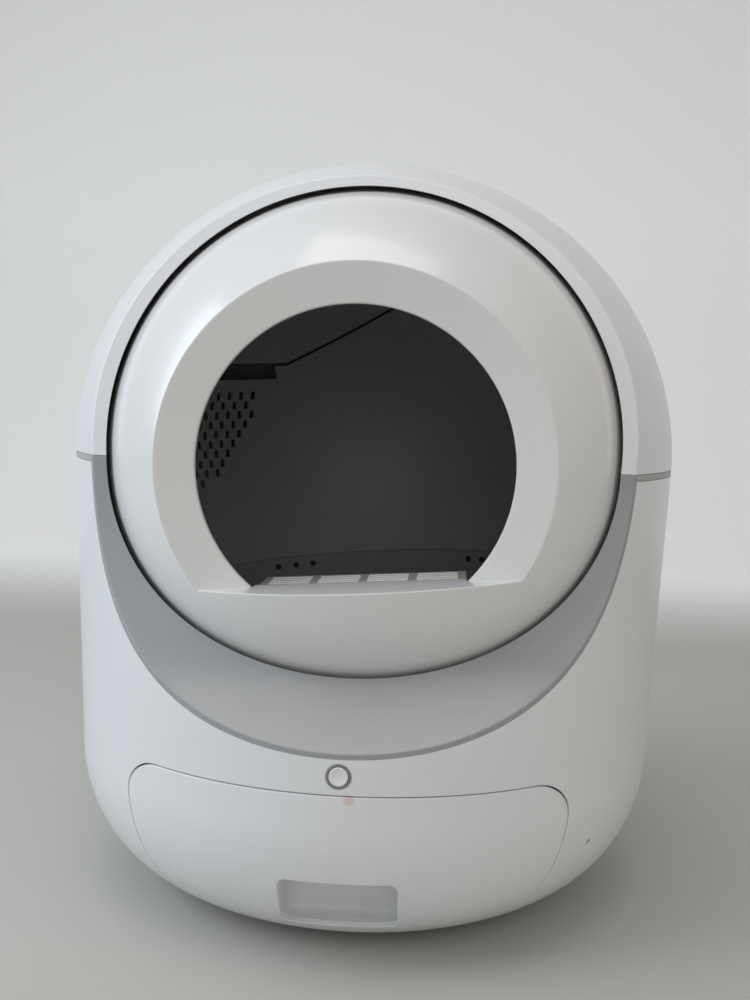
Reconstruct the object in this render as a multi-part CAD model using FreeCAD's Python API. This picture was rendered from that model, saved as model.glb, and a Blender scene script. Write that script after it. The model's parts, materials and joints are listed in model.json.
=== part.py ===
"""Self-cleaning litter box: a white egg-shaped housing around a turning drum.

Millimetres, +Z up, the entrance faces -Y and +X is to the right seen from the front.
The origin is the middle of the footprint, on the floor.
"""
import FreeCAD, Part
import math
import os

from FreeCAD import Vector

# Housing: a body of revolution about the vertical axis
body_radius = 279.5
seam_height = 400.0
dome_height = 270.0
base_taper = 2.06
bottom_round_width = 112.0
bottom_round_height = 127.0
foot_height = 8.0
wall = 3.2
joint_gap = 0.3

# Front of the housing: a rim leaning back above the seam, a concave scoop below it
rim_inset = 111.3
rim_lean = 9.5
rim_thickness = 3.0
scoop_radius = 264.3
scoop_thickness = 3.4
lip_depth = 16.0
lip_thickness = 3.0
belt_height = 6.0
belt_width = 7.5
flange_width = 12.0
flange_thickness = 4.0
tab_angles = (10.0, 60.0, 120.0, 170.0)
tab_width = 26.0
tab_height = 22.0
tab_thickness = 3.0

# Drum: a ball on a level axis that runs front to back
drum_radius = 241.0
drum_setback = 42.8
drum_height = 401.0
drum_wall = 3.0
drum_gap = 4.5
drum_park_angle = 4.25

# Entrance of the drum, measured from the drum's centre
face_radius = 156.8
face_thickness = 2.6
face_dish = 5.0
opening_radius = 125.0
opening_round = 1.6
neck_depth = 4.0
sill_drop = 91.4
sill_thickness = 2.6
sill_depth = 14.0
grille_depth = 62.0
grille_half_width = 84.0
grille_step = 3.0
grille_thickness = 4.0
slat_groups = 4
slats_per_group = 5
slat_width = 2.6
slat_rise = 1.2
slat_group_gap = 7.0

# Lining of the drum
lining_radius = 231.0
lining_thickness = 2.2
bed_thickness = 4.0
bed_height = -115.0
lining_front = -172.0
sieve_centre_y = 91.0
sieve_centre_z = 44.0
sieve_radius = 94.0
sieve_top = 80.0
sieve_overlap = 4.0
sieve_thickness = 3.0
hole_turn = 3.87
hole_pitch = 10.2
hole_top = 63.0
hole_width = 5.4
hole_height = 8.2
hole_margin = 9.5
septum_slope = 24.5
septum_edge_x = -102.0
septum_edge_z = 94.0
septum_end_x = 20.0
septum_gap = 3.0
slot_end = 12.0

# Waste port in the drum and chute under it
port_angle = 135.0
port_start = 60.0
port_length = 72.0
port_width = 92.0
port_frame_wall = 3.0
port_frame_height = 7.0
chute_half_width = 60.0
chute_wall = 2.6
chute_clearance = 5.0

# Drive and support of the drum
gear_module = 3.0
ring_teeth = 166
pinion_teeth = 14
gear_width = 15.0
pinion_angle = 30.0
backlash = 0.8
track_radius = 241.5
track_offset = 40.0
track_width = 14.0
roller_radius = 16.0
roller_width = 12.0
roller_angle = 38.0
roller_clearance = 0.3
roller_flange = 3.0
roller_axle_radius = 4.0
running_clearance = 0.06
ear_thickness = 4.0
ear_gap = 0.6
ear_round = 9.0
motor_radius = 18.0
motor_length = 52.0
gearbox_side = 36.0
gearbox_length = 28.0
shaft_radius = 4.0
bracket_thickness = 3.5

# Cradle, chassis and drawer
cradle_height = 132.0
cradle_thickness = 4.0
cradle_radius = 262.0
cradle_front = -186.0
cradle_wall_x = 128.0
cradle_wall_thickness = 4.0
cradle_wall_half_length = 105.0
pan_margin = 5.97
pan_thickness = 3.5
pan_opening_radius = 122.0
runner_x = 60.0
runner_width = 12.0
runner_height = 9.0
runner_half_length = 118.0
drawer_top = 157.0
drawer_bottom = 22.0
drawer_half_width = 179.0
drawer_corner = 29.0
drawer_waist_height = 72.0
drawer_waist = 165.0
drawer_foot = 130.0
drawer_gap = 1.2
drawer_panel = 4.0
drawer_panel_back = -120.0
slide_gap = 0.3
bin_half_width = 118.0
bin_front = -198.0
bin_rear = 112.0
bin_top = 126.0
bin_wall = 2.5
pocket_half_width = 46.5
pocket_bottom = 36.0
pocket_top = 84.0
pocket_back = -204.0
pocket_wall = 2.5
pocket_round = 7.0

# Start button
button_height = 172.6
button_radius = 7.4
button_ring_radius = 9.8
button_clearance = 0.35
button_proud = 0.8
button_length = 6.0
button_dish = 0.9
button_travel = 1.5
stem_radius = 2.4
stem_length = 13.0
housing_radius = 11.5
housing_wall = 1.6
spring_radius = 4.4
spring_wire = 0.35
spring_turns = 4.0

# Feet and weight sensors
foot_count = 4
foot_radius = 11.0
foot_inset = 14.0
foot_first_angle = 45.0
foot_stud_radius = 3.0
cell_length = 44.0
cell_width = 12.0
cell_height = 8.0

# Rear service cover and electronics
cover_half_width = 104.0
cover_bottom = 130.0
cover_top = 318.0
cover_rise = 47.5
cover_round = 30.0
cover_wall = 2.8
vent_count = 6
vent_width = 4.0
vent_length = 56.0
vent_pitch = 10.0
board_width = 120.0
board_height = 90.0
board_thickness = 1.6
board_gap = 0.5
standoff_radius = 3.5
socket_x = 30.0
socket_height = 165.0
socket_radius = 6.0
socket_bore = 2.8
socket_length = 16.0
socket_bore_length = 10.0
cover_screw_radius = 3.2

# Small fasteners and sensors
screw_head_radius = 3.0
screw_shank_radius = 1.5
screw_head_height = 1.8
drum_screw_count = 10
flange_half = 3.0
lining_screw_drop = 9.0
lining_screw_angles = (57.0, 62.0, 115.5, 121.5, 128.0)
magnet_offset = -24.0
magnet_radius = 5.0
magnet_thickness = 3.0
sensor_size = 14.0

ORIGIN = Vector(0, 0, 0)
X, Y, Z = Vector(1, 0, 0), Vector(0, 1, 0), Vector(0, 0, 1)
reach = 2.0 * body_radius
seam_cut = seam_height - belt_height
drum_centre = Vector(0, -drum_setback, drum_height)
clear_radius = drum_radius + drum_gap
face_offset = math.sqrt(drum_radius ** 2 - face_radius ** 2)
knee_height = foot_height + bottom_round_height
knee_radius = body_radius - math.tan(math.radians(base_taper)) * (seam_height - knee_height)
rim_setback = body_radius - rim_inset
scoop_axis = Vector(0, -rim_setback - scoop_radius, seam_height)
cover_depth = body_radius + cover_rise
pan_radius = knee_radius - bottom_round_width - pan_margin
foot_circle = pan_radius - foot_inset


def box(x0, x1, y0, y1, z0, z1):
    """A box from its lowest to its highest corner."""
    return Part.makeBox(x1 - x0, y1 - y0, z1 - z0, Vector(x0, y0, z0))


def rod(radius, length, start, direction):
    """A round rod from a start point along a direction."""
    return Part.makeCylinder(radius, length, start, direction)


def tube(outer, inner, length, start, direction):
    """A round tube from a start point along a direction."""
    return rod(outer, length, start, direction).cut(rod(inner, length, start, direction))


def arc(first, middle, last):
    """A round edge through three points."""
    return Part.Arc(first, middle, last).toShape()


def line(first, last):
    """A straight edge."""
    return Part.LineSegment(first, last).toShape()


def turned(edges, point, direction):
    """A solid made by turning a closed outline about an axis."""
    return Part.Face(Part.Wire(Part.sortEdges(edges)[0])).revolve(point, direction, 360)


def prism(edges, travel):
    """A solid made by moving a closed outline."""
    return Part.Face(Part.Wire(edges)).extrude(travel)


def quarter_ellipse(centre, wide, high, side):
    """A quarter of an ellipse in the XZ plane, from its side to its top or bottom."""
    flank = centre + X * wide
    tip = centre + Z * side * high
    major, minor = (flank, tip) if wide > high else (tip, flank)
    return Part.Ellipse(major, minor, centre).toBSpline(0, math.pi / 2).toShape(), flank, tip


def base_solid(inset):
    """The lower half of the housing, filled, its surface moved inwards by the inset."""
    centre = Vector(knee_radius - bottom_round_width, 0, knee_height)
    curve, flank, tip = quarter_ellipse(centre, bottom_round_width - inset, bottom_round_height - inset, -1)
    rim = Vector(body_radius - inset, 0, seam_height)
    top, bottom = Z * seam_height, Z * tip.z
    edges = [curve, line(flank, rim), line(rim, top), line(top, bottom), line(bottom, tip)]
    return turned(edges, ORIGIN, Z)


def hood_solid(inset):
    """The upper half of the housing, filled, its surface moved inwards by the inset."""
    centre = Z * seam_height
    curve, flank, tip = quarter_ellipse(centre, body_radius - inset, dome_height - inset, 1)
    return turned([curve, line(tip, centre), line(centre, flank)], ORIGIN, Z)


def hood_cavity():
    """The space inside the upper half of the housing, carried on below its lower edge."""
    centre = Z * seam_height
    curve, flank, tip = quarter_ellipse(centre, body_radius - wall, dome_height - wall, 1)
    low_centre, low_flank = centre - Z * wall, flank - Z * wall
    edges = [curve, line(tip, low_centre), line(low_centre, low_flank), line(low_flank, flank)]
    return turned(edges, ORIGIN, Z)


def ahead_of_rim(shift):
    """Everything in front of the rim plane, moved backwards by the shift."""
    block = box(-reach, reach, -2 * reach, 0, -reach, reach)
    block.rotate(ORIGIN, X, -rim_lean)
    block.translate(Vector(0, shift - rim_setback, seam_height))
    return block


def scoop(shift):
    """The round space in front of the concave face, grown backwards by the shift."""
    return rod(scoop_radius + shift, 2 * reach, scoop_axis - X * reach, X)


def ball(radius):
    """A ball about the drum's centre, its poles on the drum's axis and its seam low at the side."""
    whole = Part.makeSphere(radius)
    whole.rotate(ORIGIN, Z, 70)
    whole.rotate(ORIGIN, X, 90)
    whole.translate(drum_centre)
    return whole


def below(height):
    """Everything under a level."""
    return box(-reach, reach, -reach, reach, -reach, height)


def above(height):
    """Everything over a level."""
    return box(-reach, reach, -reach, reach, height, 2 * reach)


def solid_of(shape):
    """The shape with its seams merged, as one solid where it is one."""
    shape = shape.removeSplitter()
    return shape.Solids[0] if len(shape.Solids) == 1 else shape


def ring_between(outer, inner, low, high):
    """A flat ring about the vertical axis between two levels."""
    return tube(outer, inner, high - low, Z * low, Z)


def polar(radius, angle, height=0.0):
    """A point about the vertical axis."""
    turn = math.radians(angle)
    return Vector(radius * math.cos(turn), radius * math.sin(turn), height)


def around_drum(radius, angle, offset):
    """A point about the drum's axis; the angle runs from +X towards +Z, the offset backwards."""
    turn = math.radians(angle)
    return drum_centre + Vector(radius * math.cos(turn), offset, radius * math.sin(turn))


def parked(shape):
    """A drum piece turned to where the drum is parked in the photograph."""
    shape = shape.copy()
    shape.rotate(drum_centre, Y, -drum_park_angle)
    return shape


# Housing

def drawer_outline(grow):
    """The drawer panel's outline, seen from the front, grown all round."""
    half, top, bottom = drawer_half_width + grow, drawer_top + grow, drawer_bottom - grow
    corner = drawer_top - drawer_corner - 4.0
    bulge = drawer_corner * (1 - math.sin(math.radians(45)))

    def side(sign):
        foot = Vector(sign * (drawer_foot + grow), -reach, bottom)
        waist = Vector(sign * (drawer_waist + grow), -reach, drawer_waist_height)
        shoulder = Vector(sign * half, -reach, corner)
        middle = Vector(sign * (half - bulge), -reach, top - bulge)
        crown = Vector(sign * (half - drawer_corner), -reach, top)
        return foot, waist, shoulder, middle, crown

    left, right = side(-1), side(1)
    return [
        line(left[0], right[0]),
        arc(right[0], right[1], right[2]), arc(right[2], right[3], right[4]),
        line(right[4], left[4]),
        arc(left[4], left[3], left[2]), arc(left[2], left[1], left[0]),
    ]


def base_shell():
    """The white lower casing, open at the front scoop, the drawer and underneath."""
    behind_lip = ball(clear_radius + lip_thickness + joint_gap)
    behind_scoop = scoop(scoop_thickness + joint_gap)
    shell = base_solid(0).cut(base_solid(wall)).cut(above(seam_cut))
    shell = shell.cut(behind_scoop).cut(behind_lip)
    flange = ring_between(body_radius - wall + 1, body_radius - wall - flange_width,
                          seam_cut - flange_thickness, seam_cut)
    flange = flange.common(base_solid(wall / 2)).cut(behind_scoop).cut(behind_lip)
    shell = shell.fuse(flange)
    shell = shell.cut(prism(drawer_outline(drawer_gap), Y * reach))
    shell = shell.cut(rod(button_ring_radius, reach, Vector(0, -reach, button_height), Y))
    for spot in cover_screw_places():
        shell = shell.cut(rod(screw_shank_radius, reach / 4, spot, Y * -1))
    shell = shell.cut(rod(pan_opening_radius, wall * 3, Z * (foot_height - wall), Z))
    for spot in foot_points(0):
        shell = shell.cut(rod(foot_stud_radius, wall * 3, spot + Z * (foot_height - wall), Z))
    return solid_of(shell)


def crescent_bezel():
    """The grey concave face under the drum, with the lip that follows the drum's gap."""
    body = base_solid(0).cut(below(knee_height))
    face = body.common(scoop(scoop_thickness)).cut(scoop(0))
    lip = ball(clear_radius + lip_thickness).common(body).common(scoop(lip_depth)).cut(scoop(0))
    return solid_of(face.fuse(lip).cut(ball(clear_radius)))


def belt_trim():
    """The grey strip that the hood stands on."""
    ring = ring_between(body_radius, body_radius - belt_width, seam_cut, seam_height)
    return solid_of(ring.cut(scoop(scoop_thickness)).cut(ball(clear_radius + lip_thickness)))


def hood():
    """The white lift-off dome with its flat front rim and the lip around the drum."""
    shell = hood_solid(0).cut(ahead_of_rim(0))
    shell = shell.cut(hood_cavity().cut(ahead_of_rim(rim_thickness))).cut(ball(clear_radius))
    lip = ball(clear_radius + lip_thickness).common(hood_solid(wall / 2))
    lip = lip.cut(ahead_of_rim(0)).common(ahead_of_rim(lip_depth)).cut(ball(clear_radius))
    shell = solid_of(shell.fuse(lip))
    for angle in tab_angles:
        shell = shell.fuse(hood_tab().rotated(ORIGIN, Z, angle))
    return shell.Solids[0]


def hood_tab():
    """A tab inside the hood that reaches down behind the joint strip."""
    outer = body_radius - belt_width - joint_gap
    low = seam_cut + 1
    hook = ring_between(outer, outer - tab_thickness, low, seam_height + tab_height)
    root = ring_between(body_radius - wall / 2, outer - 1, seam_height + joint_gap, seam_height + tab_height)
    sector = box(0, reach, -tab_width / 2, tab_width / 2, low, reach)
    return hook.common(sector).fuse(root.common(sector))


def foot_points(height):
    """Centres of the feet at a level."""
    step = 360.0 / foot_count
    return [polar(foot_circle, foot_first_angle + step * i, height) for i in range(foot_count)]


def rubber_feet():
    """Round rubber feet with a softened lower edge."""
    feet = []
    for spot in foot_points(0):
        pad = rod(foot_radius, foot_height, spot, Z)
        pad = pad.makeFillet(1.5, [e for e in pad.Edges if e.BoundBox.ZMax < 0.1])
        feet.append(pad.cut(rod(foot_stud_radius, foot_height, spot + Z * foot_height / 2, Z)))
    return Part.makeCompound(feet)


def foot_studs():
    """Steel studs that carry the weight from the sensors into the feet."""
    top = foot_height + wall + pan_thickness
    return Part.makeCompound([rod(foot_stud_radius, top - foot_height / 2, spot + Z * foot_height / 2, Z)
                              for spot in foot_points(0)])


def load_cells():
    """Weighing beams that sit over the feet on the pan."""
    cells = []
    floor = foot_height + wall + pan_thickness
    for i, spot in enumerate(foot_points(floor)):
        angle = foot_first_angle + i * 360.0 / foot_count
        beam = box(-cell_length / 2, cell_length / 2, -cell_width / 2, cell_width / 2, 0, cell_height)
        for end in (-1, 1):
            beam = beam.cut(rod(cell_width / 6, cell_height, Vector(end * cell_length / 5, 0, 0), Z))
        beam.rotate(ORIGIN, Z, angle + 90)
        beam.translate(spot)
        cells.append(beam)
    return Part.makeCompound(cells)


def chassis_pan():
    """The bottom tray that closes the base and carries the cradle."""
    floor = foot_height + wall
    pan = rod(pan_radius, pan_thickness, Z * floor, Z)
    for spot in foot_points(0):
        pan = pan.cut(rod(foot_stud_radius, pan_thickness, spot + Z * floor, Z))
    for side in (-1, 1):
        rib = box(-pan_radius / 2, pan_radius / 2, -2, 2, floor + pan_thickness, floor + pan_thickness + 4)
        rib.translate(Y * side * (pan_radius - 30))
        pan = pan.fuse(rib)
    return solid_of(pan)


# Cradle under the drum

def roller_places():
    """Axle centres of the support rollers: name, point and the side of the flange."""
    away = track_radius + roller_clearance + roller_radius
    places = []
    for row, side in (("front", -1), ("rear", 1)):
        for column, angle in (("left", 270 - roller_angle), ("right", 270 + roller_angle)):
            places.append((f"{row}_{column}", around_drum(away, angle, side * track_offset), side))
    return places


def drum_cradle():
    """The tray under the drum with its two walls and the ears that hold the rollers."""
    top = cradle_height + cradle_thickness
    tray = rod(cradle_radius, cradle_thickness, Z * cradle_height, Z)
    tray = tray.cut(box(-reach, reach, -reach, cradle_front, 0, reach)).common(base_solid(wall + joint_gap))
    tray = tray.cut(chute_box(chute_wall, cradle_height, top))
    for side in (-1, 1):
        x0 = side * cradle_wall_x
        x1 = side * (cradle_wall_x + cradle_wall_thickness)
        wall_plate = box(min(x0, x1), max(x0, x1), -cradle_wall_half_length, cradle_wall_half_length,
                         cradle_wall_foot(), cradle_height + 1)
        tray = tray.fuse(wall_plate)
        near = side * (chute_half_width + chute_wall + joint_gap)
        shelf = box(min(near, x1), max(near, x1), cradle_wall_half_length - 12, cradle_wall_half_length,
                    cradle_height - 1, cradle_height)
        tray = tray.fuse(shelf)
    for _, spot, side in roller_places():
        low, high = roller_span(spot, side)
        for y0 in (low - ear_gap - ear_thickness, high + ear_gap):
            ear = rod(ear_round, ear_thickness, Vector(spot.x, y0, spot.z), Y)
            post = box(spot.x - ear_round, spot.x + ear_round, y0, y0 + ear_thickness, top - 1, spot.z)
            tray = tray.fuse(ear.fuse(post))
        tray = tray.cut(axle_pin(spot, side))
    return solid_of(tray)


def roller_span(spot, side):
    """Where a roller starts and ends along its axle; its flange is on the given side."""
    inner = roller_width / 2
    outer = track_width / 2 + joint_gap + roller_flange
    return (spot.y - inner, spot.y + outer) if side > 0 else (spot.y - outer, spot.y + inner)


def axle_pin(spot, side):
    """A roller's pin from the outside of one ear to the outside of the other."""
    low, high = roller_span(spot, side)
    spare = ear_gap + ear_thickness
    return rod(roller_axle_radius, high - low + 2 * spare, Vector(spot.x, low - spare, spot.z), Y)


def cradle_wall_foot():
    """The level where the cradle's walls stand on the chassis."""
    return foot_height + wall + pan_thickness


def roller_axles():
    """Steel pins of the support rollers."""
    return Part.makeCompound([axle_pin(spot, side) for _, spot, side in roller_places()])


def support_roller(spot, side):
    """A roller with a flange that keeps the drum from wandering."""
    low, high = roller_span(spot, side)
    wheel = rod(roller_radius, high - low, Vector(spot.x, low, spot.z), Y)
    flange_start = high - roller_flange if side > 0 else low
    rim = Vector(spot.x, flange_start, spot.z)
    wheel = wheel.fuse(rod(roller_radius + roller_flange, roller_flange, rim, Y))
    groove = tube(roller_radius - 4, roller_axle_radius + 3, 2, Vector(spot.x, low, spot.z), Y)
    bore = rod(roller_axle_radius + running_clearance, high - low, Vector(spot.x, low, spot.z), Y)
    return solid_of(wheel.cut(groove).cut(bore))


def chute_box(grow, low, high):
    """The chute's shaft between two levels, grown sideways."""
    y0 = drum_centre.y + port_start - chute_clearance
    y1 = y0 + port_length + 2 * chute_clearance
    half = chute_half_width + grow
    return box(-half, half, y0 - grow, y1 + grow, low, high)


def waste_chute():
    """The square funnel that guides the waste from the drum into the drawer."""
    low = bin_top + 2
    high = drum_height - drum_radius / 2
    shaft = chute_box(chute_wall, low, high).cut(chute_box(0, low, high))
    collar = chute_box(chute_wall + 6, cradle_height + cradle_thickness, cradle_height + cradle_thickness + 2)
    shaft = shaft.fuse(collar.cut(chute_box(0, low, high)))
    return solid_of(shaft.cut(ball(drum_radius + chute_clearance)))


def drawer_runners():
    """Two low rails on the chassis that the drawer slides on."""
    floor = foot_height + wall + pan_thickness
    rails = []
    for side in (-1, 1):
        rail = box(-runner_width / 2, runner_width / 2, -runner_half_length, runner_half_length,
                   0, runner_height)
        rail.translate(Vector(side * runner_x, 0, floor))
        rails.append(rail)
    return Part.makeCompound(rails)


# Drive

def gear(teeth, width, bore, phase):
    """A spur gear about the Y axis with straight-sided teeth."""
    pitch_r = gear_module * teeth / 2.0
    tip_r, root_r = pitch_r + gear_module, pitch_r - 1.25 * gear_module
    step = 2 * math.pi / teeth
    thick = math.pi * gear_module / 2 - backlash
    half_root = (thick / 2 + gear_module * 0.45) / root_r
    half_tip = (thick / 2 - gear_module * 0.36) / tip_r
    points = []
    for i in range(teeth):
        middle = math.radians(phase) + i * step
        for radius, angle in ((root_r, middle - half_root), (tip_r, middle - half_tip),
                              (tip_r, middle + half_tip), (root_r, middle + half_root)):
            points.append(Vector(radius * math.cos(angle), -width / 2, radius * math.sin(angle)))
    blank = Part.Face(Part.makePolygon(points + points[:1])).extrude(Y * width)
    return blank.cut(rod(bore, width, Y * -width / 2, Y))


def ring_gear():
    """The toothed ring around the drum's middle."""
    ring = gear(ring_teeth, gear_width, drum_radius + 0.05, -pinion_angle + 180.0 / ring_teeth)
    ring.translate(drum_centre)
    return ring


def pinion_centre():
    """The point on the motor's axis in line with the ring gear."""
    return around_drum(gear_module * (ring_teeth + pinion_teeth) / 2.0, -pinion_angle, 0)


def drive_pinion():
    """The motor's small gear on its shaft."""
    wheel = gear(pinion_teeth, gear_width, shaft_radius, 180 - pinion_angle)
    hub = tube(shaft_radius + 4, shaft_radius, 4, Y * gear_width / 2, Y)
    shaft = rod(shaft_radius, gear_width + 4 + bracket_thickness + 14, Y * -gear_width / 2, Y)
    whole = wheel.fuse(hub).fuse(shaft)
    whole.translate(pinion_centre())
    return solid_of(whole)


def gearbox_start():
    """The front face of the gearbox on the pinion's axis."""
    return pinion_centre() + Y * (gear_width / 2 + 5.0)


def motor_bracket():
    """The upright plate that holds the gearbox over the cradle."""
    face = gearbox_start()
    top = cradle_height + cradle_thickness
    x0, x1 = face.x - gearbox_side / 2 - 3, face.x + gearbox_side / 2 + 3
    plate = box(x0, x1, face.y, face.y + bracket_thickness, top, face.z + gearbox_side / 2 + 3)
    foot = box(x0, x1, face.y, face.y + 3 * bracket_thickness, top, top + bracket_thickness)
    plate = plate.fuse(foot).cut(ball(clear_radius)).common(base_solid(wall + joint_gap))
    return solid_of(plate.cut(rod(shaft_radius + 2.5, reach, face - Y * reach / 2, Y)))


def gearbox():
    """The square gearbox behind the bracket."""
    start = gearbox_start() + Y * bracket_thickness
    half = gearbox_side / 2
    body = box(-half, half, 0, gearbox_length, -half, half)
    body = body.makeFillet(4, [e for e in body.Edges if abs(e.tangentAt(e.FirstParameter).y) > 0.9])
    body.translate(start)
    return solid_of(body.cut(rod(shaft_radius + running_clearance, 14, start, Y)))


def drive_motor():
    """The round motor at the back of the gearbox."""
    start = gearbox_start() + Y * (bracket_thickness + gearbox_length)
    can = rod(motor_radius, motor_length, start, Y)
    return solid_of(can.fuse(rod(motor_radius / 3, 4, start + Y * motor_length, Y)))


# Drum shells

def port_block(grow, low, high):
    """The waste port's shaft, from one distance from the drum's axis to another."""
    half = port_width / 2 + grow
    block = box(low, high, port_start - grow, port_start + port_length + grow, -half, half)
    block.rotate(ORIGIN, Y, -port_angle)
    block.translate(drum_centre)
    return block


def half_ball_shell(outer, inner, side):
    """Half of a hollow ball: side -1 is the front half, 1 the rear."""
    shell = ball(outer).cut(ball(inner))
    y0 = drum_centre.y
    keep = box(-reach, reach, min(y0, y0 + side * reach), max(y0, y0 + side * reach), -reach, 2 * reach)
    return shell.common(keep)


def shell_flange(side):
    """The inner flange, with its screw holes, where the two halves of the drum meet."""
    y0 = drum_centre.y if side > 0 else drum_centre.y - flange_half
    at = Vector(0, y0, drum_height)
    flange = tube(drum_radius - drum_wall, lining_radius, flange_half, at, Y)
    flange = flange.common(ball(drum_radius - drum_wall / 2))
    for spot in drum_screw_points():
        flange = flange.cut(rod(screw_shank_radius, 2 * flange_half, spot - Y * flange_half, Y))
    return flange


def drum_screw_points():
    """Points on the joint between the drum's halves."""
    radius = (drum_radius - drum_wall + lining_radius) / 2
    return [around_drum(radius, 360.0 * i / drum_screw_count, 0) for i in range(drum_screw_count)]


def entry_window():
    """Everything ahead of the entrance face and over the sill."""
    y1 = drum_centre.y - face_offset + face_thickness
    return box(-reach, reach, y1 - reach, y1, drum_height - sill_drop, 2 * reach)


def drum_front_shell():
    """The white front half of the drum."""
    shell = half_ball_shell(drum_radius, drum_radius - drum_wall, -1).cut(entry_window())
    return parked(solid_of(shell.fuse(shell_flange(-1))))


def entry_face():
    """The matt dished face around the opening, its inner edge rounded into a short neck."""
    front = -face_offset
    outer = math.sqrt(drum_radius ** 2 - (face_offset - face_thickness) ** 2)
    r1, y1 = opening_radius + opening_round, front + face_dish
    corner = opening_round * (1 - math.sin(math.radians(45)))
    back = front + face_dish + neck_depth

    def at(radius, y):
        return drum_centre + Vector(radius, y, 0)

    inner = opening_radius + face_thickness
    seat = math.sqrt((drum_radius - drum_wall) ** 2 - (face_offset - face_thickness) ** 2) - joint_gap
    outline = [
        line(at(outer, front), at(r1, y1)),
        arc(at(r1, y1), at(opening_radius + corner, y1 + corner), at(opening_radius, y1 + opening_round)),
        line(at(opening_radius, y1 + opening_round), at(opening_radius, back)),
        line(at(opening_radius, back), at(inner, back)),
        line(at(inner, back), at(inner, y1 + face_thickness)),
        line(at(inner, y1 + face_thickness), at(seat, front + face_thickness)),
        line(at(seat, front + face_thickness), at(outer, front + face_thickness)),
        line(at(outer, front + face_thickness), at(outer, front)),
    ]
    face = turned(outline, drum_centre, Y).common(ball(drum_radius))
    return parked(solid_of(face.common(above(drum_height - sill_drop))))


def entry_sill():
    """The ledge that the cat steps on, from the drum's lip into the opening."""
    top = drum_height - sill_drop
    back = drum_centre.y - face_offset + sill_depth
    slab = box(-reach, reach, -reach, back, top - sill_thickness, top)
    inside = box(-reach, reach, drum_centre.y - face_offset + face_thickness, back, top - sill_thickness, top)
    sill = slab.cut(inside).common(ball(drum_radius - drum_wall))
    chord = math.sqrt(opening_radius ** 2 - sill_drop ** 2) - joint_gap
    tongue = box(-chord, chord, drum_centre.y - face_offset, back, top - sill_thickness, top)
    return parked(solid_of(sill.fuse(tongue)))


def grille_box(depth_start, depth_end, half, low, high):
    """A block on the sill's inner side, measured back from the entrance face."""
    y0 = drum_centre.y - face_offset + sill_depth
    top = drum_height - sill_drop - grille_step
    return box(-half, half, y0 + depth_start, y0 + depth_end, top + low, top + high)


def slat_frames():
    """The openings of the grille: the left edge and the width of each group."""
    usable = 2 * grille_half_width - (slat_groups + 1) * slat_group_gap
    width = usable / slat_groups
    step = width + slat_group_gap
    return [(-grille_half_width + slat_group_gap + i * step, width) for i in range(slat_groups)]


def sill_grille():
    """The grey tread behind the sill that catches litter from the paws."""
    plate = grille_box(0, grille_depth, grille_half_width, -grille_thickness, 0)
    plate = plate.fuse(grille_box(0, 3, grille_half_width, -1, grille_step))
    depth = grille_depth - 2 * slat_group_gap
    for left, width in slat_frames():
        hole = grille_box(slat_group_gap, slat_group_gap + depth, width / 2, -grille_thickness, grille_step)
        hole.translate(X * (left + width / 2))
        plate = plate.cut(hole)
    return parked(solid_of(plate))


def grille_slats():
    """White cross bars in the tread's openings."""
    depth = grille_depth - 2 * slat_group_gap
    pitch = depth / slats_per_group
    bars = []
    for left, width in slat_frames():
        for i in range(slats_per_group):
            y0 = slat_group_gap + pitch * (i + 0.5) - slat_width / 2
            bar = grille_box(y0, y0 + slat_width, width / 2, -grille_thickness, slat_rise)
            bar.translate(X * (left + width / 2))
            bars.append(parked(bar))
    return Part.makeCompound(bars)


def drum_rear_shell():
    """The white rear half of the drum with the waste port."""
    shell = half_ball_shell(drum_radius, drum_radius - drum_wall, 1)
    shell = shell.cut(port_block(0, drum_radius / 2, reach))
    return parked(solid_of(shell.fuse(shell_flange(1))))


def waste_port_frame():
    """The collar around the waste port, inside the rear shell."""
    frame = port_block(port_frame_wall, drum_radius / 2, reach).cut(port_block(0, drum_radius / 3, reach))
    inner = drum_radius - drum_wall - port_frame_height
    return parked(solid_of(frame.common(ball(drum_radius - drum_wall)).cut(ball(inner))))


def roller_track(offset):
    """A smooth ring on the drum that a pair of rollers carries."""
    y0, y1 = offset - track_width / 2, offset + track_width / 2
    r0 = math.sqrt(drum_radius ** 2 - y0 ** 2) + 0.15
    r1 = math.sqrt(drum_radius ** 2 - y1 ** 2) + 0.15
    corners = [drum_centre + Vector(r, y, 0) for r, y in
               ((track_radius, y0), (track_radius, y1), (r1, y1), (r0, y0))]
    edges = [line(a, b) for a, b in zip(corners, corners[1:] + corners[:1])]
    return turned(edges, drum_centre, Y)


def drum_screws():
    """Screws that hold the drum's halves together."""
    screws = []
    for spot in drum_screw_points():
        shank = rod(screw_shank_radius, 2 * flange_half, spot - Y * flange_half, Y)
        head = rod(screw_head_radius, screw_head_height, spot + Y * flange_half, Y)
        screws.append(parked(shank.fuse(head)))
    return Part.makeCompound(screws)


# Lining of the drum

def bed_level():
    """The level of the joint between the rubber bed and the lining."""
    return drum_height + bed_height


def behind_front(shape):
    """The part of a lining piece that lies behind the front edge of the lining."""
    return shape.cut(box(-reach, reach, -reach * 2, drum_centre.y + lining_front, -reach, 2 * reach))


def litter_bed():
    """The rubber bowl that holds the litter."""
    bowl = ball(lining_radius).cut(ball(lining_radius - bed_thickness)).common(below(bed_level() - joint_gap))
    return parked(solid_of(behind_front(bowl)))


def sieve_column(radius):
    """A round column through the left side of the drum, where the sieve sits."""
    start = drum_centre + Vector(-reach, sieve_centre_y, sieve_centre_z)
    return rod(radius, reach - 20, start, X)


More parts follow.
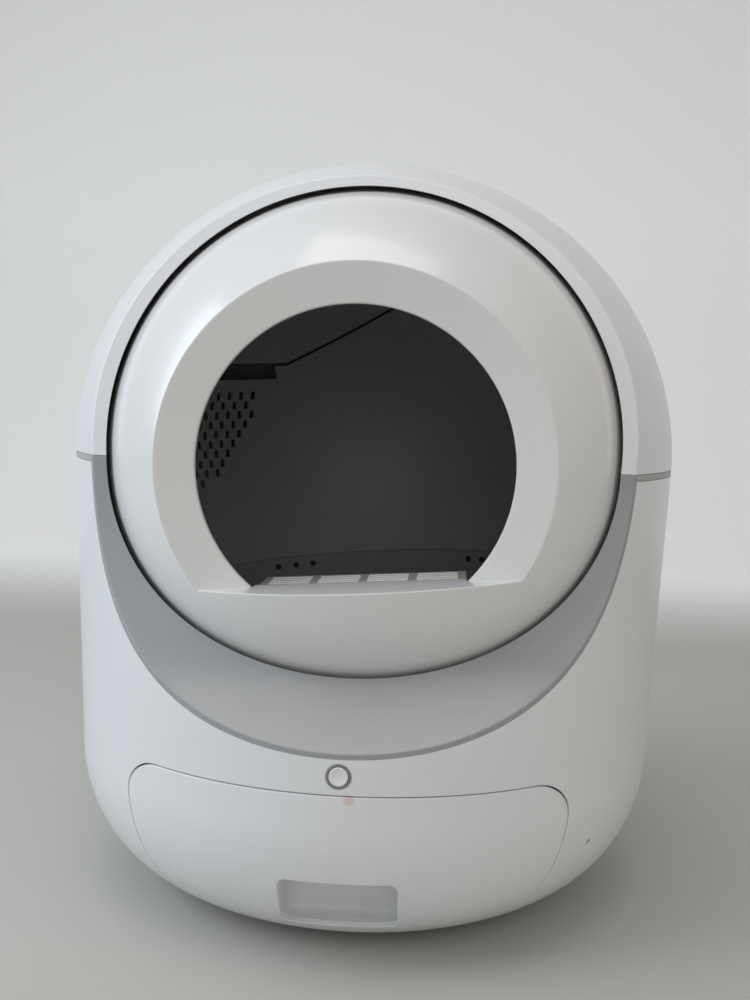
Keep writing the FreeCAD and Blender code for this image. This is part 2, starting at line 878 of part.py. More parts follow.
def septum_side(gap):
    """Everything over the septum's edge, moved up by a gap: level on the left, then rising to the right."""
    level = box(-reach, septum_edge_x, -reach, reach, drum_height + septum_edge_z + gap, 2 * reach)
    block = box(-reach, reach, -reach, reach, 0, reach)
    block.rotate(ORIGIN, Y, -septum_slope)
    block.translate(drum_centre + Vector(septum_edge_x, 0, septum_edge_z + gap))
    return level.fuse(block.common(box(septum_edge_x, septum_end_x, -reach, reach, 0, 2 * reach)))


def drum_lining():
    """The dark inner wall of the drum over the bed."""
    shell = ball(lining_radius).cut(ball(lining_radius - lining_thickness)).common(above(bed_level()))
    shell = behind_front(shell).cut(sieve_column(sieve_radius - sieve_overlap)).cut(septum_side(0))
    slot = box(-reach, septum_edge_x - slot_end, drum_centre.y, reach,
               drum_height + sieve_top - sieve_overlap, drum_height + septum_edge_z)
    return parked(solid_of(shell.cut(slot)))


def septum_panel():
    """The upper panel that leads the waste to the port."""
    shell = ball(lining_radius).cut(ball(lining_radius - lining_thickness))
    panel = behind_front(shell.common(septum_side(septum_gap)))
    return parked(solid_of(panel.cut(port_block(port_frame_wall, drum_radius / 2, reach))))


def sieve_screen():
    """The perforated screen that the clean litter falls back through."""
    outer = lining_radius - lining_thickness
    patch = ball(outer).cut(ball(outer - sieve_thickness)).common(sieve_column(sieve_radius))
    patch = patch.common(below(drum_height + sieve_top))
    return parked(solid_of(patch.cut(Part.makeCompound(sieve_holes()))))


def sieve_holes():
    """Staggered upright slots through the sieve, each square to the drum's wall."""
    holes = []
    for row in range(int(2 * sieve_radius / hole_pitch)):
        level = hole_top - row * hole_pitch
        ring = math.sqrt(lining_radius ** 2 - level ** 2)
        for column in range(int(90 / hole_turn)):
            turn = (column + row % 2 / 2) * hole_turn
            y = ring * math.sin(math.radians(turn))
            if math.hypot(y - sieve_centre_y, level - sieve_centre_z) > sieve_radius - hole_margin:
                continue
            hole = box(-ring - hole_margin, -ring + hole_margin, -hole_width / 2, hole_width / 2,
                       level - hole_height / 2, level + hole_height / 2)
            hole.rotate(ORIGIN, Z, -turn)
            hole.translate(drum_centre)
            holes.append(hole)
    return holes


def lining_screws():
    """Screws just under the joint between the lining and the bed."""
    screws = []
    radius = lining_radius - bed_thickness
    level = bed_height - lining_screw_drop
    ring = math.sqrt(radius ** 2 - level ** 2)
    for angle in lining_screw_angles:
        outward = (polar(ring, angle) + Z * level) / radius
        spot = drum_centre + outward * (radius - running_clearance)
        screws.append(parked(rod(screw_head_radius, screw_head_height, spot, outward * -1)))
    return Part.makeCompound(screws)


def drum_magnet():
    """The magnet that marks the drum's home position."""
    inner = drum_radius - drum_wall
    level = -math.sqrt(inner ** 2 - magnet_offset ** 2) - 1
    pill = rod(magnet_radius, magnet_thickness + 1, drum_centre + Vector(0, magnet_offset, level), Z)
    return parked(solid_of(pill.common(ball(inner))))


def hall_sensor():
    """The position sensor on the cradle under the magnet."""
    top = cradle_height + cradle_thickness
    half = sensor_size / 2
    y = drum_centre.y + magnet_offset
    return box(-half, half, y - half, y + half, top, top + sensor_size / 2)


# Drawer

def pocket_block(grow, front, back):
    """The grip pocket's rounded block."""
    half = pocket_half_width + grow
    block = box(-half, half, front, back, pocket_bottom - grow, pocket_top + grow)
    chosen = [e for e in block.Edges if abs(e.tangentAt(e.FirstParameter).y) > 0.9]
    return block.makeFillet(pocket_round, chosen)


def drawer_front():
    """The white drawer panel with its grip pocket."""
    prism_body = prism(drawer_outline(0), Y * (reach + drawer_panel_back))
    panel = base_solid(0).cut(base_solid(drawer_panel)).common(prism_body)
    cup = pocket_block(pocket_wall, -reach, pocket_back + pocket_wall)
    cup = cup.common(base_solid(0)).common(prism_body)
    return solid_of(panel.fuse(cup).cut(pocket_block(0, -reach, pocket_back)))


def bin_block(inset, top):
    """The bin's rounded block inside the casing, its faces moved inwards by the inset."""
    half = bin_half_width - inset
    bottom = cradle_wall_foot() + runner_height + slide_gap
    block = box(-half, half, bin_front + inset, bin_rear - inset, bottom + inset, top)
    chosen = [e for e in block.Edges if abs(e.tangentAt(e.FirstParameter).z) > 0.9]
    block = block.makeFillet(14 - inset, chosen)
    return block.common(base_solid(drawer_panel + 2 + inset))


def drawer_bin():
    """The open bin behind the drawer panel, with the two arms that carry the panel."""
    whole = bin_block(0, bin_top).cut(bin_block(bin_wall, bin_top + 1))
    for side in (-1, 1):
        x0 = side * (bin_half_width - 24)
        arm = box(x0 - 7, x0 + 7, -reach, bin_front + 1, bin_top - 34, bin_top - 8)
        whole = whole.fuse(arm.common(base_solid(drawer_panel)))
    return solid_of(whole)


# Start button

def wall_face(height):
    """How far forward the base's surface is on the centre plane at a level."""
    return -(body_radius - math.tan(math.radians(base_taper)) * (seam_height - height))


def button_ring():
    """The grey ring around the start button."""
    face = wall_face(button_height)
    ring = tube(button_ring_radius, button_radius + button_clearance, wall + 3,
                Vector(0, face - 0.4, button_height), Y)
    return solid_of(ring)


def start_button():
    """The dished white cap and its stem."""
    face = wall_face(button_height) - button_proud
    cap = rod(button_radius, button_length, Vector(0, face, button_height), Y)
    cap = cap.makeFillet(0.7, [e for e in cap.Edges if e.BoundBox.YMax < face + 0.1])
    dish_radius = (0.75 * button_radius) ** 2 / (2 * button_dish) + button_dish / 2
    cap = cap.cut(Part.makeSphere(dish_radius, Vector(0, face + button_dish - dish_radius, button_height)))
    stem = rod(stem_radius, stem_length, Vector(0, face + button_length - 1, button_height), Y)
    return solid_of(cap.fuse(stem))


def button_levels():
    """Distances back from the drum side of the ring: the cup's start, its floor and the board's face."""
    start = wall_face(button_height) - 0.4 + wall + 3
    floor = start + button_length + button_travel + 2
    board = wall_face(button_height) - button_proud + button_length - 1 + stem_length + button_travel + 3.6
    return start, floor, board


def button_housing():
    """The cup behind the ring that guides the button's stem."""
    start, floor, board = button_levels()
    at = Vector(0, 0, button_height)
    cup = rod(housing_radius, board - start, at + Y * start, Y)
    cup = cup.cut(rod(button_radius + 1.2, floor - start, at + Y * start, Y))
    behind = floor + housing_wall
    cup = cup.cut(rod(housing_radius - housing_wall, board - behind, at + Y * behind, Y))
    return solid_of(cup.cut(rod(stem_radius + running_clearance, reach / 4, at + Y * start, Y)))


def button_spring():
    """The coil that pushes the cap back out."""
    _, floor, _ = button_levels()
    start = wall_face(button_height) - button_proud + button_length
    length = floor - start - 2 * spring_wire
    path = Part.makeHelix(length / spring_turns, length, spring_radius)
    profile = Part.Wire(Part.makeCircle(spring_wire, Vector(spring_radius, 0, 0), Y))
    coil = Part.Wire(path).makePipeShell([profile], True, True)
    coil.rotate(ORIGIN, X, -90)
    coil.translate(Vector(0, start + spring_wire, button_height))
    return coil


def button_board():
    """The small board with the switch behind the button."""
    _, _, board = button_levels()
    switch = box(-3, 3, board - 3, board + 0.5, button_height - 3, button_height + 3)
    plate = box(-16, 16, board, board + board_thickness, button_height - 9, button_height + 9)
    return solid_of(switch.fuse(plate))


# Rear cover and electronics

def cover_block(inset):
    """The rounded hump at the back, its faces moved inwards by the inset."""
    half = cover_half_width - inset
    block = box(-half, half, 0, cover_depth - inset, cover_bottom + inset, cover_top - inset)
    chosen = [e for e in block.Edges if e.BoundBox.YMax > cover_depth - inset - 0.1
              or abs(e.tangentAt(e.FirstParameter).y) > 0.9]
    chosen = [e for e in chosen if e.BoundBox.YMax > 1]
    return block.makeFillet(cover_round - inset, chosen)


def rear_cover():
    """The service cover with its air slots."""
    cover = cover_block(0).cut(cover_block(cover_wall)).cut(base_solid(0))
    cover = cover.cut(box(-reach, reach, -reach, body_radius / 2, -reach, reach))
    for i in range(vent_count):
        z = cover_top - 60 - i * vent_pitch
        cover = cover.cut(box(-vent_length / 2, vent_length / 2, cover_depth - 2 * cover_wall,
                              cover_depth + 1, z, z + vent_width))
    for spot in cover_screw_places():
        post = rod(cover_screw_radius + 2, reach / 4, spot, Y * -1).cut(base_solid(0))
        cover = cover.fuse(post).cut(rod(screw_shank_radius, reach / 4, spot, Y * -1))
        cover = cover.cut(rod(cover_screw_radius, 1.6, spot, Y * -1))
    inlet = Vector(socket_x, cover_depth - 3 * cover_wall, socket_height)
    cover = cover.cut(rod(socket_radius, reach, inlet, Y))
    return solid_of(cover)


def power_socket():
    """The round inlet for the mains adapter's plug."""
    start = Vector(socket_x, cover_depth - socket_length, socket_height)
    body = rod(socket_radius, socket_length, start, Y)
    bore = rod(socket_bore, socket_bore_length, start + Y * (socket_length - socket_bore_length), Y)
    return solid_of(body.cut(bore))


def board_front():
    """How far back the control board's front face is."""
    return body_radius + board_gap


def control_board():
    """The main circuit board with its larger parts."""
    y0 = board_front()
    z0 = (cover_bottom + cover_top) / 2
    half_w, half_h = board_width / 2, board_height / 2
    plate = box(-half_w, half_w, y0, y0 + board_thickness, z0 - half_h, z0 + half_h)
    blocks = ((-35, 20, 24, 16, 9), (10, 18, 18, 18, 5), (38, -16, 16, 26, 12), (-30, -20, 30, 12, 7))
    for x, z, w, h, d in blocks:
        part = box(x - w / 2, x + w / 2, y0 + board_thickness - 0.2, y0 + board_thickness + d,
                   z0 + z - h / 2, z0 + z + h / 2)
        plate = plate.fuse(part)
    return solid_of(plate)


def board_standoffs():
    """Posts that carry the control board on the base's rear wall."""
    z0 = (cover_bottom + cover_top) / 2
    posts = []
    for sx in (-1, 1):
        for sz in (-1, 1):
            x, z = sx * (board_width / 2 - 6), z0 + sz * (board_height / 2 - 6)
            post = rod(standoff_radius, board_front() - body_radius / 2, Vector(x, body_radius / 2, z), Y)
            posts.append(solid_of(post.cut(base_solid(0))))
    return Part.makeCompound(posts)


def cover_screw_places():
    """The screws' axes as points on the cover's outer face."""
    x = cover_half_width - cover_round - 6
    levels = (cover_bottom + cover_round + 10, cover_top - cover_round - 10)
    return [Vector(side * x, cover_depth, z) for side in (-1, 1) for z in levels]


def cover_screws():
    """Screws that hold the rear cover on the casing, their heads flush."""
    screws = []
    for spot in cover_screw_places():
        head = rod(cover_screw_radius, 1.6, spot, Y * -1)
        screw = head.fuse(rod(screw_shank_radius, reach / 4, spot, Y * -1))
        screws.append(solid_of(screw.cut(base_solid(wall))))
    return Part.makeCompound(screws)


def make_parts():
    """Every piece of the box by the name of its node."""
    parts = {
        "base_shell": base_shell(), "crescent_bezel": crescent_bezel(), "belt_trim": belt_trim(),
        "hood": hood(), "chassis_pan": chassis_pan(), "rubber_feet": rubber_feet(),
        "foot_studs": foot_studs(), "load_cells": load_cells(), "drum_cradle": drum_cradle(),
        "roller_axles": roller_axles(), "waste_chute": waste_chute(), "drawer_runners": drawer_runners(),
        "motor_bracket": motor_bracket(), "gearbox": gearbox(), "drive_motor": drive_motor(),
        "drive_pinion": drive_pinion(), "hall_sensor": hall_sensor(), "button_ring": button_ring(),
        "button_housing": button_housing(), "button_spring": button_spring(), "button_board": button_board(),
        "start_button": start_button(),
        "rear_cover": rear_cover(), "power_socket": power_socket(), "control_board": control_board(),
        "board_standoffs": board_standoffs(), "cover_screws": cover_screws(),
        "drawer_front": drawer_front(), "drawer_bin": drawer_bin(),
        "drum_front_shell": drum_front_shell(), "entry_face": entry_face(), "entry_sill": entry_sill(),
        "sill_grille": sill_grille(), "grille_slats": grille_slats(), "drum_rear_shell": drum_rear_shell(),
        "waste_port_frame": waste_port_frame(), "ring_gear": ring_gear(), "drum_screws": drum_screws(),
        "front_track": roller_track(-track_offset), "rear_track": roller_track(track_offset),
        "litter_bed": litter_bed(), "drum_lining": drum_lining(), "septum_panel": septum_panel(),
        "sieve_screen": sieve_screen(), "lining_screws": lining_screws(), "drum_magnet": drum_magnet(),
    }
    for name, spot, side in roller_places():
        parts[f"roller_{name}"] = support_roller(spot, side)
    return parts


def main():
    """Build every piece and write it to its file."""
    os.makedirs("parts", exist_ok=True)
    front = wall_face(button_height) - button_proud
    to_middle = Y * (-(front + cover_depth) / 2)
    for name, shape in make_parts().items():
        shape.translate(to_middle)
        if not shape.isValid():
            print("invalid shape", name)
        shape.exportStep(f"parts/{name}.step")


main()
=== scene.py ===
"""Dressed model of a self-cleaning litter box: white housing, turning drum, waste drawer.

Sizes are millimetres in the frame of the housing's own vertical axis, +Z up and the entrance
towards -Y. PLACE_SHIFT moves that axis into the part's frame when a mesh is made.
"""

import json
import logging
import math
from dataclasses import dataclass
from enum import Enum
from typing import Callable, Optional, Sequence

import bmesh
import bpy
import numpy as np
from mathutils import Matrix
from mathutils.geometry import delaunay_2d_cdt

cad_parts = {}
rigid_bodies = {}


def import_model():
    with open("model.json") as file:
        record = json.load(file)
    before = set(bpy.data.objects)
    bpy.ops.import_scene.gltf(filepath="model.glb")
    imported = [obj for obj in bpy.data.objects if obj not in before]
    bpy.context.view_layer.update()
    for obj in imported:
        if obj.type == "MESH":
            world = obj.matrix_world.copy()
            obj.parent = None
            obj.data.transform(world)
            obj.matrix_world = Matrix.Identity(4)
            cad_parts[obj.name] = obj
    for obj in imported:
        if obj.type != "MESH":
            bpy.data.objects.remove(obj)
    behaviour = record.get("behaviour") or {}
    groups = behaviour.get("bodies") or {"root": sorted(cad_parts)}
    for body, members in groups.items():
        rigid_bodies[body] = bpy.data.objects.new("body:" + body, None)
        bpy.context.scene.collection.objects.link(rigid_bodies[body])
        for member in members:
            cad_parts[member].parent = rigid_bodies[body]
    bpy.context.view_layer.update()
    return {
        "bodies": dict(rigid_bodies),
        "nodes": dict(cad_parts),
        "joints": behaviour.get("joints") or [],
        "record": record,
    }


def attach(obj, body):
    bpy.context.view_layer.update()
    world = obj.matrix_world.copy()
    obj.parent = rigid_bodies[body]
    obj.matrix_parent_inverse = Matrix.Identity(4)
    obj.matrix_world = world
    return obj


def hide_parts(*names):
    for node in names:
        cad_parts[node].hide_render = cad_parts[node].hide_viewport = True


Array = np.ndarray
Surface = Callable[[Array], tuple[Array, Array]]

LOG = logging.getLogger("litter_box")
PLACE_SHIFT = np.array([0.0, -27.4395, 0.0])
MILLIMETRE = 0.001

BODY_RADIUS = 279.5
SEAM_HEIGHT = 400.0
DOME_HEIGHT = 270.0
TAPER = math.tan(math.radians(2.06))
KNEE_HEIGHT = 135.0
BOTTOM_ROUND = (112.0, 127.0)
FLAT_RADIUS = 157.97
FOOT_HEIGHT = 8.0
BASE_TOP = 394.0
WALL = 3.2
UNROLL_RADIUS = 275.0
PROFILE_STEPS = 4001

RIM_SETBACK = 168.2
RIM_LEAN = math.radians(9.5)
CLEAR_RADIUS = 245.5
SCOOP_RADIUS = 264.3
SCOOP_THICKNESS = 3.4
SCOOP_AXIS = -432.5

DRUM_CENTRE = np.array([0.0, -42.8, 401.0])
DRUM_RADIUS = 241.0
DRUM_WALL = 3.0
DRUM_PARK = math.radians(4.25)
DRUM_PLACE = (0.0, -0.07024, 0.401)
FACE_RADIUS = 156.8
SILL_DROP = 91.4
SILL_THICKNESS = 2.6

DRAWER_FOOT = (130.0, 22.0)
DRAWER_WAIST = (165.0, 72.0)
DRAWER_SHOULDER = (179.0, 124.0)
DRAWER_CROWN = (150.0, 157.0)
DRAWER_CORNER = 29.0
BUTTON_HEIGHT = 172.6
BUTTON_HOLE_RADIUS = 9.8

WELD_METRES = 4e-5
SPECK_METRES = 1e-6
EDGE_CLEARANCE = 0.62
SCOOP_STEP = 4.0
DRAWER_STEP = 3.0
POCKET_STEP = 2.0


class Body(Enum):
    """The moving groups of the part."""

    HOUSING = "housing"
    HOOD = "hood"
    DRUM = "drum"
    DRAWER = "drawer"
    BUTTON = "button"


# Numbers on surfaces.


def unit(vectors: Array) -> Array:
    """Vectors at length one; a zero vector stays zero."""
    length = np.linalg.norm(vectors, axis=-1, keepdims=True)
    return vectors / np.where(length < 1e-12, 1.0, length)


def agreeing(vectors: Array, towards: Array) -> Array:
    """Vectors, turned about where they point away from the directions given."""
    return vectors * np.where((vectors * towards).sum(axis=-1, keepdims=True) < 0, -1.0, 1.0)


def circle(radius: float, turn: Array) -> Array:
    """Points at angles on a circle about the origin."""
    return radius * np.stack([np.cos(turn), np.sin(turn)], axis=-1)


def revolved(radius: Array | float, turn: Array, height: Array | float) -> Array:
    """Points round the upright axis: radius times sine and minus cosine of the angle from the front."""
    return np.stack([radius * np.sin(turn), -radius * np.cos(turn), height + 0 * turn], axis=-1)


def dense(points: Array, spacing: float) -> Array:
    """Points at even steps of arc length along a polyline, its ends kept.

    Args:
        points: The polyline, one point a row.
        spacing: The wanted step in millimetres.

    Returns:
        The resampled polyline.
    """
    steps = np.linalg.norm(np.diff(points, axis=0), axis=1)
    run = np.concatenate([[0.0], np.cumsum(steps)])
    count = max(2, int(math.ceil(run[-1] / spacing)) + 1)
    at = np.linspace(0.0, run[-1], count)
    return np.stack([np.interp(at, run, points[:, k]) for k in range(points.shape[1])], axis=1)


def arc_through(first: Sequence[float], middle: Sequence[float], last: Sequence[float],
                count: int) -> Array:
    """Points on the circle through three points, by the crossing of their perpendicular bisectors.

    Args:
        first: Where the arc starts.
        middle: A point that it passes.
        last: Where it ends.
        count: How many points.

    Returns:
        The points, ends included.
    """
    (ax, ay), (bx, by), (cx, cy) = first, middle, last
    twice = 2 * (ax * (by - cy) + bx * (cy - ay) + cx * (ay - by))
    a2, b2, c2 = ax * ax + ay * ay, bx * bx + by * by, cx * cx + cy * cy
    centre = np.array([
        (a2 * (by - cy) + b2 * (cy - ay) + c2 * (ay - by)) / twice,
        (a2 * (cx - bx) + b2 * (ax - cx) + c2 * (bx - ax)) / twice,
    ])
    radius = float(np.linalg.norm(np.array(first) - centre))
    angles = np.unwrap([math.atan2(p[1] - centre[1], p[0] - centre[0]) for p in (first, middle, last)])
    return centre + circle(radius, np.linspace(angles[0], angles[2], count))


def bezier(start: Array, corner: Array, end: Array, count: int = 4) -> list[Array]:
    """Rows of a quadratic curve that leaves start towards corner and arrives at end from corner."""
    at = np.linspace(0.0, 1.0, count + 1)
    return [(1 - t) ** 2 * start + 2 * t * (1 - t) * corner + t * t * end for t in at]


def inside(points: Array, loop: Array) -> Array:
    """Even-odd test of points against a closed polygon, by crossings of a ray to the right.

    Args:
        points: The points, one a row.
        loop: The polygon's corners in order.

    Returns:
        True for each point inside.
    """
    x, y = points[:, 0][:, None], points[:, 1][:, None]
    x0, y0 = loop[:, 0][None, :], loop[:, 1][None, :]
    x1, y1 = np.roll(loop[:, 0], -1)[None, :], np.roll(loop[:, 1], -1)[None, :]
    rise = np.where(np.abs(y1 - y0) < 1e-12, 1e-12, y1 - y0)
    crosses = ((y0 > y) != (y1 > y)) & (x < (x1 - x0) * (y - y0) / rise + x0)
    return crosses.sum(axis=1) % 2 == 1


def near(points: Array, loop: Array, reach: float) -> Array:
    """True where a point lies within reach of one of the loop's corners."""
    gap = points[:, None, :] - loop[None, :, :]
    return (gap * gap).sum(axis=2).min(axis=1) < reach * reach


def along(loop: Array, closed: bool = True) -> Array:
    """Unit direction of travel at each point, from the points before and after it."""
    if closed:
        return unit(np.roll(loop, -1, axis=0) - np.roll(loop, 1, axis=0))
    return unit(np.gradient(loop, axis=0))


def sunk_share(z: Array) -> Array:
    """How far below the knee a level is, from 0 at the knee to 1 at the flat bottom."""
    return np.clip((KNEE_HEIGHT - z) / BOTTOM_ROUND[1], 0.0, 1.0)


def wall_radius(height: Array | float) -> Array:
    """Housing's radius: a cone above the knee and a quarter ellipse below it."""
    z = np.asarray(height, dtype=float)
    rounded = FLAT_RADIUS + BOTTOM_ROUND[0] * np.sqrt(1 - sunk_share(z) ** 2)
    return np.where(z >= KNEE_HEIGHT, BODY_RADIUS - TAPER * (SEAM_HEIGHT - z), rounded)


def wall_normal(points: Array) -> Array:
    """Outward direction of the housing's wall at points on it, the gradient of its two surfaces."""
    z = points[:, 2]
    sunk = sunk_share(z)
    upright = z >= KNEE_HEIGHT
    out = np.where(upright, 1.0, np.sqrt(1 - sunk * sunk) / BOTTOM_ROUND[0])
    up = np.where(upright, -TAPER, -sunk / BOTTOM_ROUND[1])
    return unit(np.concatenate([unit(points[:, :2]) * out[:, None], up[:, None]], axis=1))


PROFILE_Z = FOOT_HEIGHT + (SEAM_HEIGHT - FOOT_HEIGHT) * np.linspace(0, 1, PROFILE_STEPS) ** 2
PROFILE_STRETCHES = np.hypot(np.diff(wall_radius(PROFILE_Z)), np.diff(PROFILE_Z))
PROFILE_RUN = np.concatenate([[0.0], np.cumsum(PROFILE_STRETCHES)])


def wall_surface(flat: Array) -> tuple[Array, Array]:
    """Housing's wall: u is the angle from the front unrolled, v the arc length up the profile."""
    z = np.interp(flat[:, 1], PROFILE_RUN, PROFILE_Z)
    points = revolved(wall_radius(z), flat[:, 0] / UNROLL_RADIUS, z)
    return points, wall_normal(points)


def wall_flat(points: Array) -> Array:
    """Where points on the wall lie in wall_surface's two numbers."""
    turn = np.arctan2(points[:, 0], -points[:, 1])
    return np.stack([turn * UNROLL_RADIUS, np.interp(points[:, 2], PROFILE_Z, PROFILE_RUN)], axis=1)


def on_wall_front(flat: Array) -> Array:
    """Points of the wall's front half straight behind (x, z)."""
    r = wall_radius(flat[:, 1])
    return np.stack([flat[:, 0], -np.sqrt(np.maximum(r * r - flat[:, 0] ** 2, 0.0)), flat[:, 1]], axis=1)


def scoop_cut(radius: float, turn: Array | float, ball: bool) -> tuple[Array, Array, Array]:
    """Where a level cylinder on the scoop's axis meets the wall, or the clear ball round the drum.

    Args:
        radius: The cylinder's radius.
        turn: Angles down from level, in radians.
        ball: True for the clear ball, False for the wall.

    Returns:
        y and z on the cylinder, and the square of x on the other surface, below zero past its end.
    """
    y = SCOOP_AXIS + radius * np.cos(turn)
    z = SEAM_HEIGHT - radius * np.sin(turn)
    if ball:
        return y, z, CLEAR_RADIUS ** 2 - (y - DRUM_CENTRE[1]) ** 2 - (z - DRUM_CENTRE[2]) ** 2
    return y, z, wall_radius(z) ** 2 - y * y


def scoop_end(radius: float, ball: bool = False) -> float:
    """Angle at which scoop_cut reaches the centre plane, by bisection."""
    low, high = 0.2, 1.5
    for _ in range(60):
        turn = 0.5 * (low + high)
        low, high = (turn, high) if scoop_cut(radius, turn, ball)[2] > 0 else (low, turn)
    return 0.5 * (low + high)


def scoop_chain(radius: float, start: float, ball: bool = False, count: int = 200) -> Array:
    """The whole curve of scoop_cut from the left end to the right, closer together at the middle."""
    turn = start + (scoop_end(radius, ball) - start) * (1 - np.linspace(1.0, 0.0, count) ** 2)
    y, z, wide = scoop_cut(radius, turn, ball)
    right = np.stack([np.sqrt(np.maximum(wide, 0.0)), y, z], axis=1)
    return np.concatenate([(right * [-1, 1, 1])[:-1], right[::-1]])


def ball_rows(line: Array, steps: Array, radius: float) -> list[Array]:
    """Rows that run back from a line on a ball about the drum's centre, each point at its own angle.

    Args:
        line: The front edge.
        steps: How far back each row is.
        radius: The ball's radius.

    Returns:
        The rows, the foremost first.
    """
    reach = line - DRUM_CENTRE
    lean = np.arctan2(reach[:, 2], reach[:, 0])
    rows = []
    for step in steps:
        y = reach[:, 1] + step
        flat = np.sqrt(np.maximum(radius ** 2 - y * y, 0))
        rows.append(np.stack([flat * np.cos(lean), y, flat * np.sin(lean)], axis=1) + DRUM_CENTRE)
    return rows


def park(points: Array) -> Array:
    """Points of the drum's own frame, turned to where it rests and moved to its place."""
    c, s = math.cos(DRUM_PARK), math.sin(DRUM_PARK)
    x, y, z = points[..., 0], points[..., 1], points[..., 2]
    return np.stack([x * c - z * s, y, x * s + z * c], axis=-1) + DRUM_CENTRE


def drawer_loop(grow: float) -> Array:
    """The drawer panel's outline as (x, z), anticlockwise from the bottom left, grown all round."""
    foot = (DRAWER_FOOT[0] + grow, DRAWER_FOOT[1] - grow)
    waist, shoulder = ((x + grow, z) for x, z in (DRAWER_WAIST, DRAWER_SHOULDER))
    crown = (DRAWER_CROWN[0] + grow, DRAWER_CROWN[1] + grow)
    bend = DRAWER_CORNER * math.sqrt(0.5)
    middle = (crown[0] + bend, crown[1] - DRAWER_CORNER + bend)
    side, corner = arc_through(foot, waist, shoulder, 40), arc_through(shoulder, middle, crown, 24)
    right = np.concatenate([side, corner[1:]])
    loop = dense(np.concatenate([right, right[::-1] * [-1, 1], right[:1]]), DRAWER_STEP)[:-1]
    for end in (foot, (-foot[0], foot[1])):
        loop[np.argmin(((loop - end) ** 2).sum(axis=1))] = end
    return loop


def round_box(half: float, low: float, high: float, corner: float) -> Array:
    """A box with round corners as an anticlockwise loop."""
    turn = np.linspace(0, math.pi / 2, 9)
    parts = []
    for k, (x, z) in enumerate([(half, high), (-half, high), (-half, low), (half, low)]):
        centre = np.array([x - math.copysign(corner, x), z - corner if z == high else z + corner])
        parts.append(centre + circle(corner, turn + k * math.pi / 2))
    loop = np.concatenate(parts)
    return dense(np.concatenate([loop, loop[:1]]), POCKET_STEP)[:-1]


# Meshes.


def quads(rows: int, columns: int) -> Array:
    """Corner numbers of the quads among rows and columns of points."""
    index = np.arange(rows * columns).reshape(rows, columns)
    corners = [index[:-1, :-1], index[:-1, 1:], index[1:, 1:], index[1:, :-1]]
    return np.stack(corners, axis=-1).reshape(-1, 4)


def linked(name: str, data: bpy.types.ID) -> bpy.types.Object:
    """A new object of that data in the scene."""
    made = bpy.data.objects.new(name, data)
    bpy.context.scene.collection.objects.link(made)
    return made


def smoothed(mesh: bpy.types.Mesh, sharp: float) -> None:
    """Shades a mesh smoothly; edges that turn more than that many degrees stay crisp."""
    mesh.polygons.foreach_set("use_smooth", [True] * len(mesh.polygons))
    mesh.set_sharp_from_angle(angle=math.radians(sharp))


